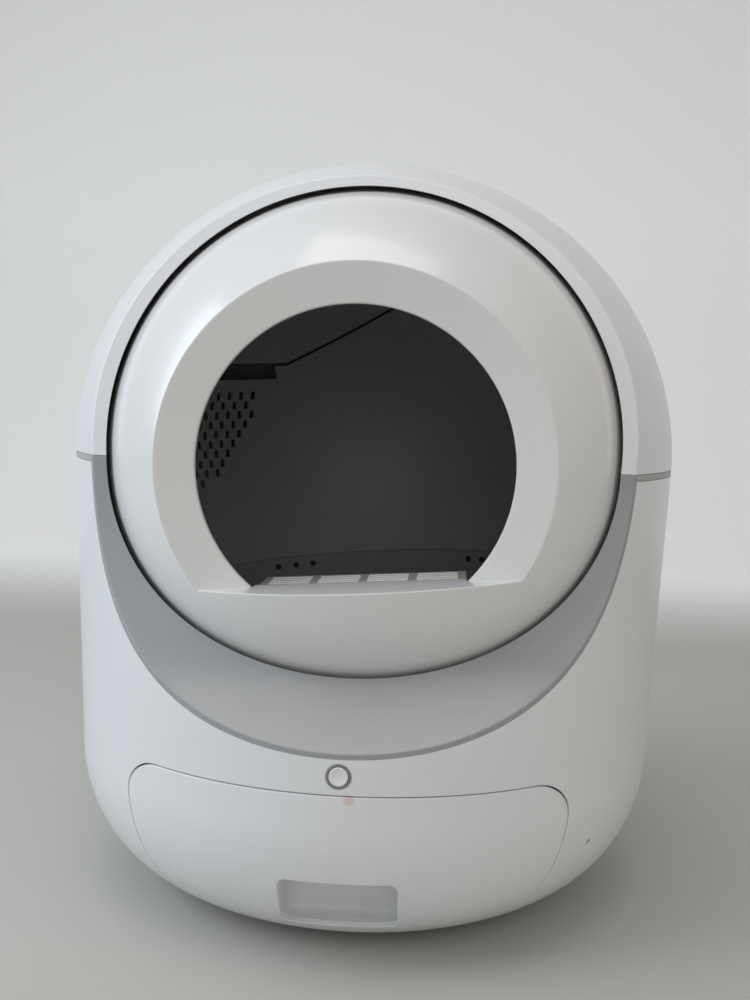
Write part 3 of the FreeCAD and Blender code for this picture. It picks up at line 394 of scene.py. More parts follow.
class Skin:
    """Grids and trimmed sheets that are welded into one mesh."""

    def __init__(self) -> None:
        """Starts with nothing."""
        self.points: list[Array] = []
        self.faces: list[Array] = []
        self.count = 0

    def add(self, points: Array, faces: Array) -> None:
        """Adds points and the faces among them."""
        self.points.append(points.reshape(-1, 3))
        self.faces.append(faces + self.count)
        self.count += points.reshape(-1, 3).shape[0]

    def grid(self, rows: Sequence[Array] | Array, closed: bool = False) -> None:
        """Adds quads between neighbouring rows of points; closed joins each row's ends."""
        block = np.asarray(rows, dtype=float)
        if closed:
            block = np.concatenate([block, block[:, :1]], axis=1)
        self.add(block, quads(*block.shape[:2]))

    def cap(self, loop: Array) -> None:
        """Closes a convex loop with a fan about its middle."""
        ring = np.arange(len(loop))
        middle = np.full(len(loop), len(loop))
        fan = np.stack([ring, np.roll(ring, -1), middle], axis=1)
        self.add(np.concatenate([loop, loop.mean(axis=0, keepdims=True)]), fan)

    def sheet(self, surface: Surface, outer: Array, holes: Sequence[Array], spacing: float,
              thickness: float) -> None:
        """Adds a surface trimmed to loops: a grid of points, kept inside the loops and triangulated.

        Args:
            surface: Gives points and outward directions for flat coordinates.
            outer: The outer loop in flat coordinates.
            holes: Loops of openings.
            spacing: Distance between the grid's points.
            thickness: Above zero, the same sheet is added again that far below.
        """
        low, high = outer.min(axis=0), outer.max(axis=0)
        counts = np.maximum(((high - low) / spacing).astype(int), 2)
        u, v = np.meshgrid(*(np.linspace(low[k], high[k], counts[k] + 1) for k in (0, 1)))
        free = np.stack([u.ravel(), v.ravel()], axis=1)
        free = free[inside(free, outer) & ~near(free, outer, EDGE_CLEARANCE * spacing)]
        for hole in holes:
            free = free[~inside(free, hole) & ~near(free, hole, EDGE_CLEARANCE * spacing)]
        edges, start = [], 0
        for loop in (outer, *holes):
            ring = np.arange(len(loop)) + start
            edges.append(np.stack([ring, np.roll(ring, -1)], axis=1))
            start += len(loop)
        flat = np.concatenate([outer, *holes, free])
        made = delaunay_2d_cdt(flat.tolist(), np.concatenate(edges).tolist(), [], 0, 1e-6)
        corners = np.array([list(v) for v in made[0]])
        triangles = np.array(made[2])
        middle = corners[triangles].mean(axis=1)
        keep = inside(middle, outer)
        for hole in holes:
            keep &= ~inside(middle, hole)
        triangles = triangles[keep]
        points, normals = surface(corners)
        self.add(points, triangles)
        if thickness > 0:
            self.add(points - thickness * normals, triangles[:, ::-1])

    def lift(self, name: str, sharp: float = 38.0, thickness: float = 0.0) -> bpy.types.Object:
        """Welds what was added, turns its faces outwards and makes the object.

        Args:
            name: The piece's name.
            sharp: Edges that turn more than this many degrees stay crisp.
            thickness: Above zero, the open skin gets a wall of that depth behind it.

        Returns:
            The new object, with its place in its mesh.
        """
        places = (np.concatenate(self.points) + PLACE_SHIFT) * MILLIMETRE
        mesh = bpy.data.meshes.new(name)
        mesh.from_pydata(places.tolist(), [], [row for block in self.faces for row in block.tolist()])
        work = bmesh.new()
        work.from_mesh(mesh)
        bmesh.ops.remove_doubles(work, verts=work.verts, dist=WELD_METRES)
        bmesh.ops.dissolve_degenerate(work, edges=work.edges, dist=SPECK_METRES)
        bmesh.ops.recalc_face_normals(work, faces=work.faces)
        work.to_mesh(mesh)
        work.free()
        if thickness > 0:
            thicken(mesh, thickness * MILLIMETRE)
        smoothed(mesh, sharp)
        mesh.update()
        piece = linked(name, mesh)
        even_shading(piece)
        return piece


def even_shading(piece: bpy.types.Object) -> None:
    """Lets broad faces set the shading where they meet the fine rows of a rounded edge."""
    weights = piece.modifiers.new("shading", "WEIGHTED_NORMAL")
    weights.keep_sharp = True


def thicken(mesh: bpy.types.Mesh, depth: float) -> None:
    """Gives an open skin a wall: the same faces again, moved back along their corners' directions.

    Args:
        mesh: The skin, its faces outwards; it is rewritten.
        depth: The wall in metres.
    """
    count = len(mesh.vertices)
    points, normals = np.empty((2, count, 3))
    mesh.vertices.foreach_get("co", points.ravel())
    mesh.vertex_normals.foreach_get("vector", normals.ravel())
    starts = np.empty(len(mesh.polygons), dtype=int)
    sizes = np.empty(len(mesh.polygons), dtype=int)
    corners = np.empty(len(mesh.loops), dtype=int)
    mesh.polygons.foreach_get("loop_start", starts)
    mesh.polygons.foreach_get("loop_total", sizes)
    mesh.loops.foreach_get("vertex_index", corners)
    blocks, pairs = [], []
    for size in np.unique(sizes):
        rows = corners[starts[sizes == size][:, None] + np.arange(size)]
        blocks.append(rows)
        pairs.append(np.stack([rows, np.roll(rows, -1, axis=1)], axis=2).reshape(-1, 2))
    edges = np.concatenate(pairs)
    key = np.sort(edges, axis=1) @ np.array([count, 1])
    _, first, times = np.unique(key, return_index=True, return_counts=True)
    rim = edges[first[times == 1]]
    sides = np.stack([rim[:, 1], rim[:, 0], rim[:, 0] + count, rim[:, 1] + count], axis=1)
    faces = [row for block in blocks for row in block.tolist()]
    faces += [row for block in blocks for row in (block[:, ::-1] + count).tolist()]
    faces += sides.tolist()
    mesh.clear_geometry()
    mesh.from_pydata(np.concatenate([points, points - depth * normals]).tolist(), [], faces)


@dataclass
class Edge:
    """The border of a sheet, with its rounding.

    The true edge's points get a set-back line on the sheet, a quarter-round row by row, and a
    plain side down to the sheet's back.
    """

    line: Array
    normals: Array
    inward: Array
    side: Array
    rounding: float | Array

    @classmethod
    def of(cls, line: Array, normals: Array, towards: Array, rounding: float,
           side: Optional[Array] = None) -> "Edge":
        """Works the directions out.

        Args:
            line: Points of the true edge.
            normals: The sheet's outward directions there.
            towards: Points that lie on the sheet's side of the edge.
            rounding: The quarter-round's size.
            side: Direction of the side; straight through the sheet if left out.

        Returns:
            The edge.
        """
        inward = agreeing(unit(np.cross(normals, along(line))), towards - line)
        return cls(line, normals, inward, -normals if side is None else unit(side), rounding)

    @property
    def set_back(self) -> Array:
        """Where the sheet ends and the quarter-round starts."""
        return self.line + self.rounding * self.inward

    def rows(self, depth: float, back: Optional[Array] = None) -> list[Array]:
        """Rows from the sheet's face round the edge to its back.

        Args:
            depth: The sheet's thickness.
            back: The edge's points at the back; straight below the true edge if left out.

        Returns:
            The rows, ready for a grid.
        """
        rows = bezier(self.set_back, self.line, self.line + self.rounding * self.side)
        far = self.line - depth * self.normals if back is None else back
        return rows + [far, self.set_back - depth * self.normals]


def turned(profile: Array, height: float, count: int = 96) -> Array:
    """A profile of (radius, y) pairs turned about a level axis at that height, as rows."""
    turn = np.linspace(0, 2 * math.pi, count, endpoint=False)
    r, y = profile[:, :1], profile[:, 1:]
    return np.stack([r * np.cos(turn), y + 0 * turn, height + r * np.sin(turn)], axis=-1)


# Finishes.

DUST_COLOUR = "8f8a80"
DUST_HEIGHTS = (0.008, 0.06)
# Width in metres of the fade into the painted shade round the drum.
PAINTED_SHADE_BLEND = 0.0006
WEAR = 0.1
COAT_ROUGHNESS = 0.12
TRACK_COLOUR = "4f8a4c"
PAD_COLOUR = "b9b48f"


class Value:
    """A number on its way through a material; arithmetic on it adds Math nodes."""

    def __init__(self, graph: "Graph", socket: bpy.types.NodeSocket) -> None:
        """Wraps a node's output."""
        self.graph = graph
        self.socket = socket

    def _with(self, kind: str, *others: "Value | float", swap: bool = False) -> "Value":
        """The Math node of that kind on this number and others; swap puts this one second."""
        terms = [self, *others]
        if swap:
            terms.reverse()
        return self.graph.value("ShaderNodeMath", {"operation": kind}, *terms)

    def __add__(self, other: "Value | float") -> "Value":
        """Sum."""
        return self._with("ADD", other)

    def __rsub__(self, other: float) -> "Value":
        """A plain number less this one."""
        return self._with("SUBTRACT", other, swap=True)

    def __mul__(self, other: "Value | float") -> "Value":
        """Product."""
        return self._with("MULTIPLY", other)

    def __truediv__(self, other: "Value | float") -> "Value":
        """Quotient."""
        return self._with("DIVIDE", other)

    def ramp(self, low: float, high: float) -> "Value":
        """Smooth step from 0 at low to 1 at high."""
        settings = {"interpolation_type": "SMOOTHSTEP"}
        return self.graph.value("ShaderNodeMapRange", settings, self, low, high, 0.0, 1.0)


class Graph:
    """The nodes of one material."""

    def __init__(self, name: str) -> None:
        """A fresh material with its shader and output.

        Args:
            name: The material's name.
        """
        self.material = bpy.data.materials.new(name)
        self.material.use_nodes = True
        self.nodes = self.material.node_tree.nodes
        self.links = self.material.node_tree.links
        self.nodes.clear()
        self.output = self.nodes.new("ShaderNodeOutputMaterial")
        self.shader = self.nodes.new("ShaderNodeBsdfPrincipled")
        self.links.new(self.shader.outputs["BSDF"], self.output.inputs["Surface"])
        self.place = self.node("ShaderNodeTexCoord").outputs["Object"]

    def node(self, kind: str, settings: Optional[dict] = None, **sockets: object) -> bpy.types.Node:
        """A node of any kind.

        Args:
            kind: The node's type.
            settings: What is set on it first.
            **sockets: Values or links of its sockets, spaces written as underscores.

        Returns:
            The node.
        """
        made = self.nodes.new(kind)
        for key, value in (settings or {}).items():
            setattr(made, key, value)
        for key, value in sockets.items():
            self.feed(made.inputs[key.replace("_", " ")], value)
        return made

    def feed(self, socket: bpy.types.NodeSocket, value: object) -> None:
        """Links a Value or a socket, or sets a plain number or colour."""
        if isinstance(value, Value):
            self.links.new(value.socket, socket)
        elif isinstance(value, bpy.types.NodeSocket):
            self.links.new(value, socket)
        else:
            socket.default_value = value

    def value(self, kind: str, settings: Optional[dict], *terms: "Value | float") -> Value:
        """A node whose first sockets take the terms in order, as a number."""
        made = self.node(kind, settings)
        for socket, term in zip(made.inputs, terms):
            self.feed(socket, term)
        return Value(self, made.outputs[0])

    def axis(self, letter: str) -> Value:
        """The object coordinate X, Y or Z in metres."""
        made = self.node("ShaderNodeSeparateXYZ", None, Vector=self.place)
        return Value(self, made.outputs[letter])

    def away(self, point: Sequence[float]) -> Value:
        """Distance in metres from a point in the part's frame."""
        made = self.node("ShaderNodeVectorMath", {"operation": "DISTANCE"})
        self.feed(made.inputs[0], self.place)
        made.inputs[1].default_value = point
        return Value(self, made.outputs["Value"])

    def noise(self, scale: float, detail: float = 2.0, stretch: Sequence[float] = (1, 1, 1)) -> Value:
        """Cloudy variation from 0 to 1; stretch squeezes it along the axes."""
        place = self.place
        if tuple(stretch) != (1, 1, 1):
            mapping = self.node("ShaderNodeMapping", None, Vector=place, Scale=tuple(stretch))
            place = mapping.outputs["Vector"]
        made = self.node("ShaderNodeTexNoise", None, Vector=place, Scale=scale, Detail=detail)
        return Value(self, made.outputs["Fac"])

    def cells(self, scale: float) -> Value:
        """Distance to the nearest of scattered points, 0 at each of them."""
        made = self.node("ShaderNodeTexVoronoi", None, Vector=self.place, Scale=scale)
        return Value(self, made.outputs["Distance"])

    def blend(self, share: "Value | float", first: object, second: object) -> bpy.types.NodeSocket:
        """Colour between first and second."""
        made = self.node("ShaderNodeMix", {"data_type": "RGBA"})
        self.feed(made.inputs["Factor"], share)
        self.feed(made.inputs[6], first)
        self.feed(made.inputs[7], second)
        return made.outputs[2]

    def bump(self, height: Value, depth: float, strength: float = 1.0) -> None:
        """Raises the surface by height times depth, in metres."""
        made = self.node("ShaderNodeBump", None, Height=height, Distance=depth, Strength=strength)
        self.links.new(made.outputs["Normal"], self.shader.inputs["Normal"])


def linear(code: str, gain: float = 1.0) -> tuple[float, float, float, float]:
    """A written colour such as e9e9e7 as scene-linear numbers, times a gain."""
    parts = np.array([int(code[k:k + 2], 16) / 255 for k in (0, 2, 4)])
    parts = np.where(parts <= 0.04045, parts / 12.92, ((parts + 0.055) / 1.055) ** 2.4)
    return (*(parts * gain).tolist(), 1.0)


@dataclass(frozen=True)
class Mark:
    """A small stain or rub on a surface."""

    point: tuple[float, float, float]
    radius: float
    colour: str
    strength: float


@dataclass(frozen=True)
class Finish:
    """A moulded, turned or rubber surface: its colour, gloss, grain and unevenness.

    Above zero, the painted-shade distance says how near the drum's centre a surface must lie to be painted
    dark as shade:
    the walls of the narrow gap round the drum, or a shell's inner side.
    """

    name: str
    colour: str
    roughness: float
    grain: float = 1400.0
    grain_depth: float = 0.00002
    cloud: float = 0.05
    metallic: float = 0.0
    specular: float = 0.5
    coat: float = 0.0
    brushed: tuple[float, float, float] = (1.0, 1.0, 1.0)
    dust: float = 0.0
    hollow: float = 0.0
    hollow_colour: str = "2a2a2a"
    hollow_from: tuple[float, float] = (-1.0, -0.9)
    marks: tuple[Mark, ...] = ()

    def build(self) -> bpy.types.Material:
        """The material: clouded colour, dust low down, marks, painted shade round the drum, uneven gloss and
        a fine grain.
        """
        graph = Graph(self.name)
        shader = graph.shader
        darker, lighter = linear(self.colour, 1 - self.cloud), linear(self.colour, 1 + self.cloud / 2)
        colour = graph.blend(graph.noise(9.0, 3.0), darker, lighter)
        if self.dust:
            low = 1 - graph.axis("Z").ramp(*DUST_HEIGHTS)
            settled = low * graph.noise(60.0, 4.0).ramp(0.3, 0.75) * self.dust
            colour = graph.blend(settled, colour, linear(DUST_COLOUR))
        for mark in self.marks:
            core = 1 - (graph.away(mark.point) / mark.radius + graph.noise(240.0) * 0.5).ramp(0.7, 1.25)
            colour = graph.blend(core * mark.strength, colour, linear(mark.colour))
        # Painted shade: near the drum's centre, on the gap's walls and shells' inner sides, the colour turns
        # dark.
        if self.hollow:
            painted_shade = 1 - graph.away(DRUM_PLACE).ramp(self.hollow, self.hollow + PAINTED_SHADE_BLEND)
            painted_shade = painted_shade * graph.axis("Y").ramp(*self.hollow_from)
            colour = graph.blend(painted_shade, colour, linear(self.hollow_colour))
        graph.feed(shader.inputs["Base Color"], colour)
        worn = graph.noise(30.0, 4.0) * WEAR
        graph.feed(shader.inputs["Roughness"], worn + (self.roughness - WEAR / 2))
        shader.inputs["Metallic"].default_value = self.metallic
        shader.inputs["Specular IOR Level"].default_value = self.specular
        shader.inputs["Coat Weight"].default_value = self.coat
        shader.inputs["Coat Roughness"].default_value = COAT_ROUGHNESS
        graph.bump(graph.noise(self.grain, 1.0, self.brushed), self.grain_depth)
        return graph.material


@dataclass(frozen=True)
class BoardFinish(Finish):
    """Green circuit board with copper tracks under its lacquer."""

    def build(self) -> bpy.types.Material:
        """The material: wavy bands for the tracks and round pads, both slightly raised."""
        graph = Graph(self.name)
        bands = graph.value("ShaderNodeMath", {"operation": "SINE"}, graph.noise(55.0, 0.0) * 60.0)
        tracks = bands.ramp(0.55, 0.75)
        pads = 1 - graph.cells(260.0).ramp(0.16, 0.24)
        colour = graph.blend(tracks, linear(self.colour), linear(TRACK_COLOUR))
        colour = graph.blend(pads * 0.8, colour, linear(PAD_COLOUR))
        graph.feed(graph.shader.inputs["Base Color"], colour)
        graph.feed(graph.shader.inputs["Roughness"], pads * -0.1 + self.roughness)
        graph.bump(tracks + pads, 0.00008)
        return graph.material


# shell_white and bezel_grey paint shade on the walls of the gap round the drum; drum_white paints shade on
# the drum's inner side.
FINISHES: dict[str, Finish] = {
    "shell_white": Finish("shell_white", "e7e8ea", 0.32, grain_depth=0.000008, cloud=0.02, coat=0.25,
                          dust=0.12, hollow=0.2457,
                          marks=(Mark((0.008, -0.297, 0.1545), 0.006, "d9a9a0", 0.45),
                                 Mark((0.2, -0.2, 0.095), 0.0035, "8c7a63", 0.7))),
    "drum_white": Finish("drum_white", "e8e8e8", 0.24, grain_depth=0.000006, cloud=0.02, coat=0.35,
                         hollow=0.2388, hollow_colour="5c5c5c", hollow_from=(-0.15, -0.13)),
    "face_matt": Finish("face_matt", "dededc", 0.62, grain=1100.0, grain_depth=0.00004, cloud=0.035,
                        marks=(Mark((0.09, -0.24, 0.55), 0.0025, "8b8478", 0.6),)),
    "bezel_grey": Finish("bezel_grey", "9fa0a2", 0.26, grain_depth=0.000008, cloud=0.03, coat=0.3,
                         hollow=0.2457),
    "trim_grey": Finish("trim_grey", "b0b1b3", 0.45, cloud=0.04),
    "ring_grey": Finish("ring_grey", "848586", 0.4, cloud=0.04),
    "tread_grey": Finish("tread_grey", "b4b1ad", 0.5, cloud=0.05),
    "inner_grey": Finish("inner_grey", "77797b", 0.55, cloud=0.06),
    "bin_grey": Finish("bin_grey", "6f7173", 0.5, cloud=0.06),
    "dark_plastic": Finish("dark_plastic", "2c2e30", 0.45, cloud=0.1),
    "lining_dark": Finish("lining_dark", "a2a2a2", 0.45, grain=900.0, grain_depth=0.00004, cloud=0.08),
    "bed_rubber": Finish("bed_rubber", "969696", 0.55, grain=700.0, grain_depth=0.00006, cloud=0.08),
    "foot_rubber": Finish("foot_rubber", "252627", 0.75, grain=800.0, grain_depth=0.00004, cloud=0.1),
    "gear_nylon": Finish("gear_nylon", "d9d6cc", 0.45, cloud=0.05),
    "roller_nylon": Finish("roller_nylon", "55585b", 0.4, cloud=0.06),
    "steel": Finish("steel", "b9bbbd", 0.28, grain=500.0, grain_depth=0.00001, metallic=1.0,
                    brushed=(1.0, 12.0, 1.0), cloud=0.06),
    "sensor_alloy": Finish("sensor_alloy", "c3c5c6", 0.38, grain=400.0, grain_depth=0.00001, metallic=1.0,
                           brushed=(10.0, 1.0, 1.0), cloud=0.05),
    "board_green": BoardFinish("board_green", "1f5a33", 0.35),
}


class Dresser:
    """Gives pieces and plain nodes their finish and body, and keeps note of the nodes that pieces stand for.
    """

    def __init__(self, frame: dict) -> None:
        """Builds each material once.
        """
        self.frame = frame
        self.materials = {name: finish.build() for name, finish in FINISHES.items()}
        self.replaced: set[str] = set()

    def paint(self, piece: bpy.types.Object, slot: str) -> None:
        """Puts one slot's material on every face."""
        piece.data.materials.clear()
        piece.data.materials.append(self.materials[slot])

    def dress(self, piece: bpy.types.Object, slot: str, body: Body, *nodes: str) -> bpy.types.Object:
        """Finishes a new piece.

        Args:
            piece: The object.
            slot: The material slot that it takes.
            body: What it moves with.
            *nodes: The plain nodes that it stands for.

        Returns:
            The piece.
        """
        self.paint(piece, slot)
        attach(piece, body.value)
        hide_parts(*nodes)
        self.replaced.update(nodes)
        LOG.info("%s: %d faces, %s, rides on %s", piece.name, len(piece.data.polygons), slot, body.value)
        return piece

    def refine(self, name: str, slot: str, body: Body, sharp: float = 30.0, bevel: float = 0.0) -> None:
        """Stands a welded, smoothly shaded copy of a plain node in its place.

        Args:
            name: The node.
            slot: The material slot that it takes.
            body: What it moves with.
            sharp: Edges that turn more than this many degrees stay crisp.
            bevel: Width of the softened edges in metres.
        """
        mesh = self.frame["nodes"][name].data.copy()
        work = bmesh.new()
        work.from_mesh(mesh)
        bmesh.ops.remove_doubles(work, verts=work.verts, dist=1e-5)
        if bevel:
            bmesh.ops.dissolve_limit(work, angle_limit=math.radians(2), verts=work.verts, edges=work.edges)
        work.to_mesh(mesh)
        work.free()
        smoothed(mesh, sharp)
        piece = linked(name + "_fine", mesh)
        if bevel:
            soften = piece.modifiers.new("edges", "BEVEL")
            soften.width = bevel
            soften.segments = 2
            soften.limit_method = "ANGLE"
        even_shading(piece)
        self.dress(piece, slot, body, name)

    def dress_nodes(self) -> None:
        """Gives every node that still shows the material of its slot in the record."""
        slots = {row["node"]: row["material_slot"] for row in self.frame["record"]["subparts"]}
        for name, node in self.frame["nodes"].items():
            if name not in self.replaced:
                for place in node.material_slots:
                    place.material = self.materials[slots[name]]
                LOG.info("%s: plain node in %s", name, slots[name])


# Sub-assemblies.


@dataclass
class Housing:
    """The fixed casing: the lower shell, the scoop's grey crescent and the joint strip."""

    edge_round: float = 0.7
    hole_round: float = 0.4
    bezel_round: float = 1.0
    bezel_outer_count: int = 260
    bezel_inner_count: int = 230
    bezel_top: float = 399.7
    bezel_spacing: float = 5.0
    lip_inset: float = 1.4
    lip_start: float = 0.003
    lip_depth: float = 16.0
    lip_wall: float = 3.0
    lip_rows: int = 7
    strip_gap: float = 0.3
    strip_width: float = 7.5
    strip_inset: float = 0.2
    strip_round: float = 0.6
    drawer_gap: float = 0.9
    bottom_start: float = 1.2
    spacing: float = 6.0

    def shell(self) -> bpy.types.Object:
        """The lower shell: the wall trimmed by the scoop, with the drawer's and the button's openings."""
        skin = Skin()
        radius = SCOOP_RADIUS + SCOOP_THICKNESS
        scoop = dense(scoop_chain(radius, math.asin((SEAM_HEIGHT - BASE_TOP) / radius)), SCOOP_STEP)
        turn = np.linspace(math.atan2(scoop[-1, 0], -scoop[-1, 1]), math.pi, 220)
        right = revolved(float(wall_radius(BASE_TOP)), turn, BASE_TOP)
        left = right[::-1] * [-1, 1, 1]
        top = np.concatenate([left[:-1], scoop, right[1:]])
        around = np.linspace(-math.pi, math.pi, 301) * UNROLL_RADIUS
        bottom = wall_surface(np.stack([around, 0 * around + self.bottom_start], axis=1))[0]
        ends = []
        for line, inwards in ((top, -1.0), (bottom, 1.0)):
            edge = Edge.of(line[:-1], wall_normal(line[:-1]), line[:-1] + [0, 0, inwards], self.edge_round)
            skin.grid(edge.rows(WALL), closed=True)
            ends.append(self.opened(edge.set_back))
        holes = []
        button_hole = circle(BUTTON_HOLE_RADIUS, np.linspace(0, 2 * math.pi, 48, endpoint=False))
        for flat, rounding in ((drawer_loop(self.drawer_gap), self.edge_round),
                               (button_hole + [0, BUTTON_HEIGHT], self.hole_round)):
            loop = on_wall_front(flat)
            edge = Edge.of(loop, wall_normal(loop), 2 * loop - loop.mean(axis=0), rounding)
            skin.grid(edge.rows(WALL), closed=True)
            holes.append(wall_flat(edge.set_back))
        flat_top, flat_bottom = ends
        side_v = np.linspace(flat_bottom[-1, 1], flat_top[-1, 1], 70)[1:-1]
        side = np.stack([0 * side_v + math.pi * UNROLL_RADIUS, side_v], axis=1)
        outer = np.concatenate([flat_bottom, side, flat_top[::-1], (side * [-1, 1])[::-1]])
        skin.sheet(wall_surface, outer, holes, self.spacing, WALL)
        return skin.lift("shell_lower")

    @staticmethod
    def opened(line: Array) -> Array:
        """A closed line round the wall that starts at the back, as flat numbers from left to right."""
        flat = wall_flat(line)
        flat[0, 0] = -math.pi * UNROLL_RADIUS
        return np.concatenate([flat, flat[:1] * [-1, 1]])

    @staticmethod
    def scoop_surface(flat: Array) -> tuple[Array, Array]:
        """The front of the scoop: u is x, v the arc length down from level."""
        turn = flat[:, 1] / SCOOP_RADIUS
        points = np.stack([flat[:, 0], SCOOP_AXIS + SCOOP_RADIUS * np.cos(turn),
                           SEAM_HEIGHT - SCOOP_RADIUS * np.sin(turn)], axis=1)
        return points, np.stack([0 * turn, -np.cos(turn), np.sin(turn)], axis=1)

    def bezel_loop(self, radius: float) -> Array:
        """The bezel's border on a cylinder of that radius, left end first."""
        start = math.asin((SEAM_HEIGHT - self.bezel_top) / radius)
        outer = scoop_chain(radius, start, False, self.bezel_outer_count)
        inner = scoop_chain(radius, start, True, self.bezel_inner_count)[::-1]
        ends = np.linspace(0, 1, 6)[1:-1, None]
        right = outer[-1] * (1 - ends) + inner[0] * ends
        left = inner[-1] * (1 - ends) + outer[0] * ends
        return np.concatenate([outer, right, inner, left])

    def crescent(self) -> bpy.types.Object:
        """The concave bezel: a level cylinder between the wall and the ball round the drum."""
        skin = Skin()
        line = self.bezel_loop(SCOOP_RADIUS)
        back = self.bezel_loop(SCOOP_RADIUS + SCOOP_THICKNESS)
        normals = unit(([0, SCOOP_AXIS, SEAM_HEIGHT] - line) * [0, 1, 1])
        across = unit(np.cross(normals, along(line)))
        inwards = across * np.sign(across[self.bezel_outer_count - 1, 2])
        edge = Edge(line, normals, inwards, unit(back - line), self.bezel_round)
        skin.grid(edge.rows(SCOOP_THICKNESS, back), closed=True)
        x, y, z = edge.set_back.T
        flat = np.stack([x, np.arctan2(SEAM_HEIGHT - z, y - SCOOP_AXIS) * SCOOP_RADIUS], axis=1)
        skin.sheet(self.scoop_surface, flat, [], self.bezel_spacing, SCOOP_THICKNESS)
        self.lip(skin, scoop_chain(SCOOP_RADIUS + self.lip_inset, self.lip_start, True, 120))
        return skin.lift("scoop_bezel")

    def lip(self, skin: Skin, line: Array) -> None:
        """Adds a closed collar that runs back from a line on the clear ball, on the same ball."""
        steps = self.lip_depth * np.linspace(0, 1, self.lip_rows)
        inner = ball_rows(line, steps, CLEAR_RADIUS)
        outer = ball_rows(line, steps, CLEAR_RADIUS + self.lip_wall)
        ring = np.array(inner + outer[::-1])
        skin.grid([*ring, ring[0]])
        for end in (0, -1):
            skin.grid([ring[:self.lip_rows, end], ring[:self.lip_rows - 1:-1, end]])

    def strip(self) -> bpy.types.Object:
        """The grey joint strip: a small rounded profile carried round the wall behind the scoop."""
        skin = Skin()
        low, high, bend = BASE_TOP + self.strip_gap, SEAM_HEIGHT - self.strip_gap, self.strip_round
        outer = float(wall_radius((BASE_TOP + SEAM_HEIGHT) / 2)) - self.strip_inset
        inner = outer - self.strip_width
        profile = np.array([[inner, low], [outer - bend, low], [outer, low + bend],
                            [outer, high - bend], [outer - bend, high], [inner, high]])
        start = math.acos((bend - SCOOP_AXIS - SCOOP_RADIUS - SCOOP_THICKNESS) / outer)
        turn = np.linspace(start, 2 * math.pi - start, 260)
        rows = revolved(profile[:, :1], turn, profile[:, 1:])
        skin.grid(np.concatenate([rows, rows[:1]]))
        skin.cap(rows[:, 0])
        skin.cap(rows[:, -1])
        return skin.lift("joint_strip")

    def build(self, dresser: Dresser) -> None:
        """Makes and dresses the pieces."""
        dresser.dress(self.shell(), "shell_white", Body.HOUSING, "base_shell")
        dresser.dress(self.crescent(), "bezel_grey", Body.HOUSING, "crescent_bezel")
        dresser.dress(self.strip(), "trim_grey", Body.HOUSING, "belt_trim")


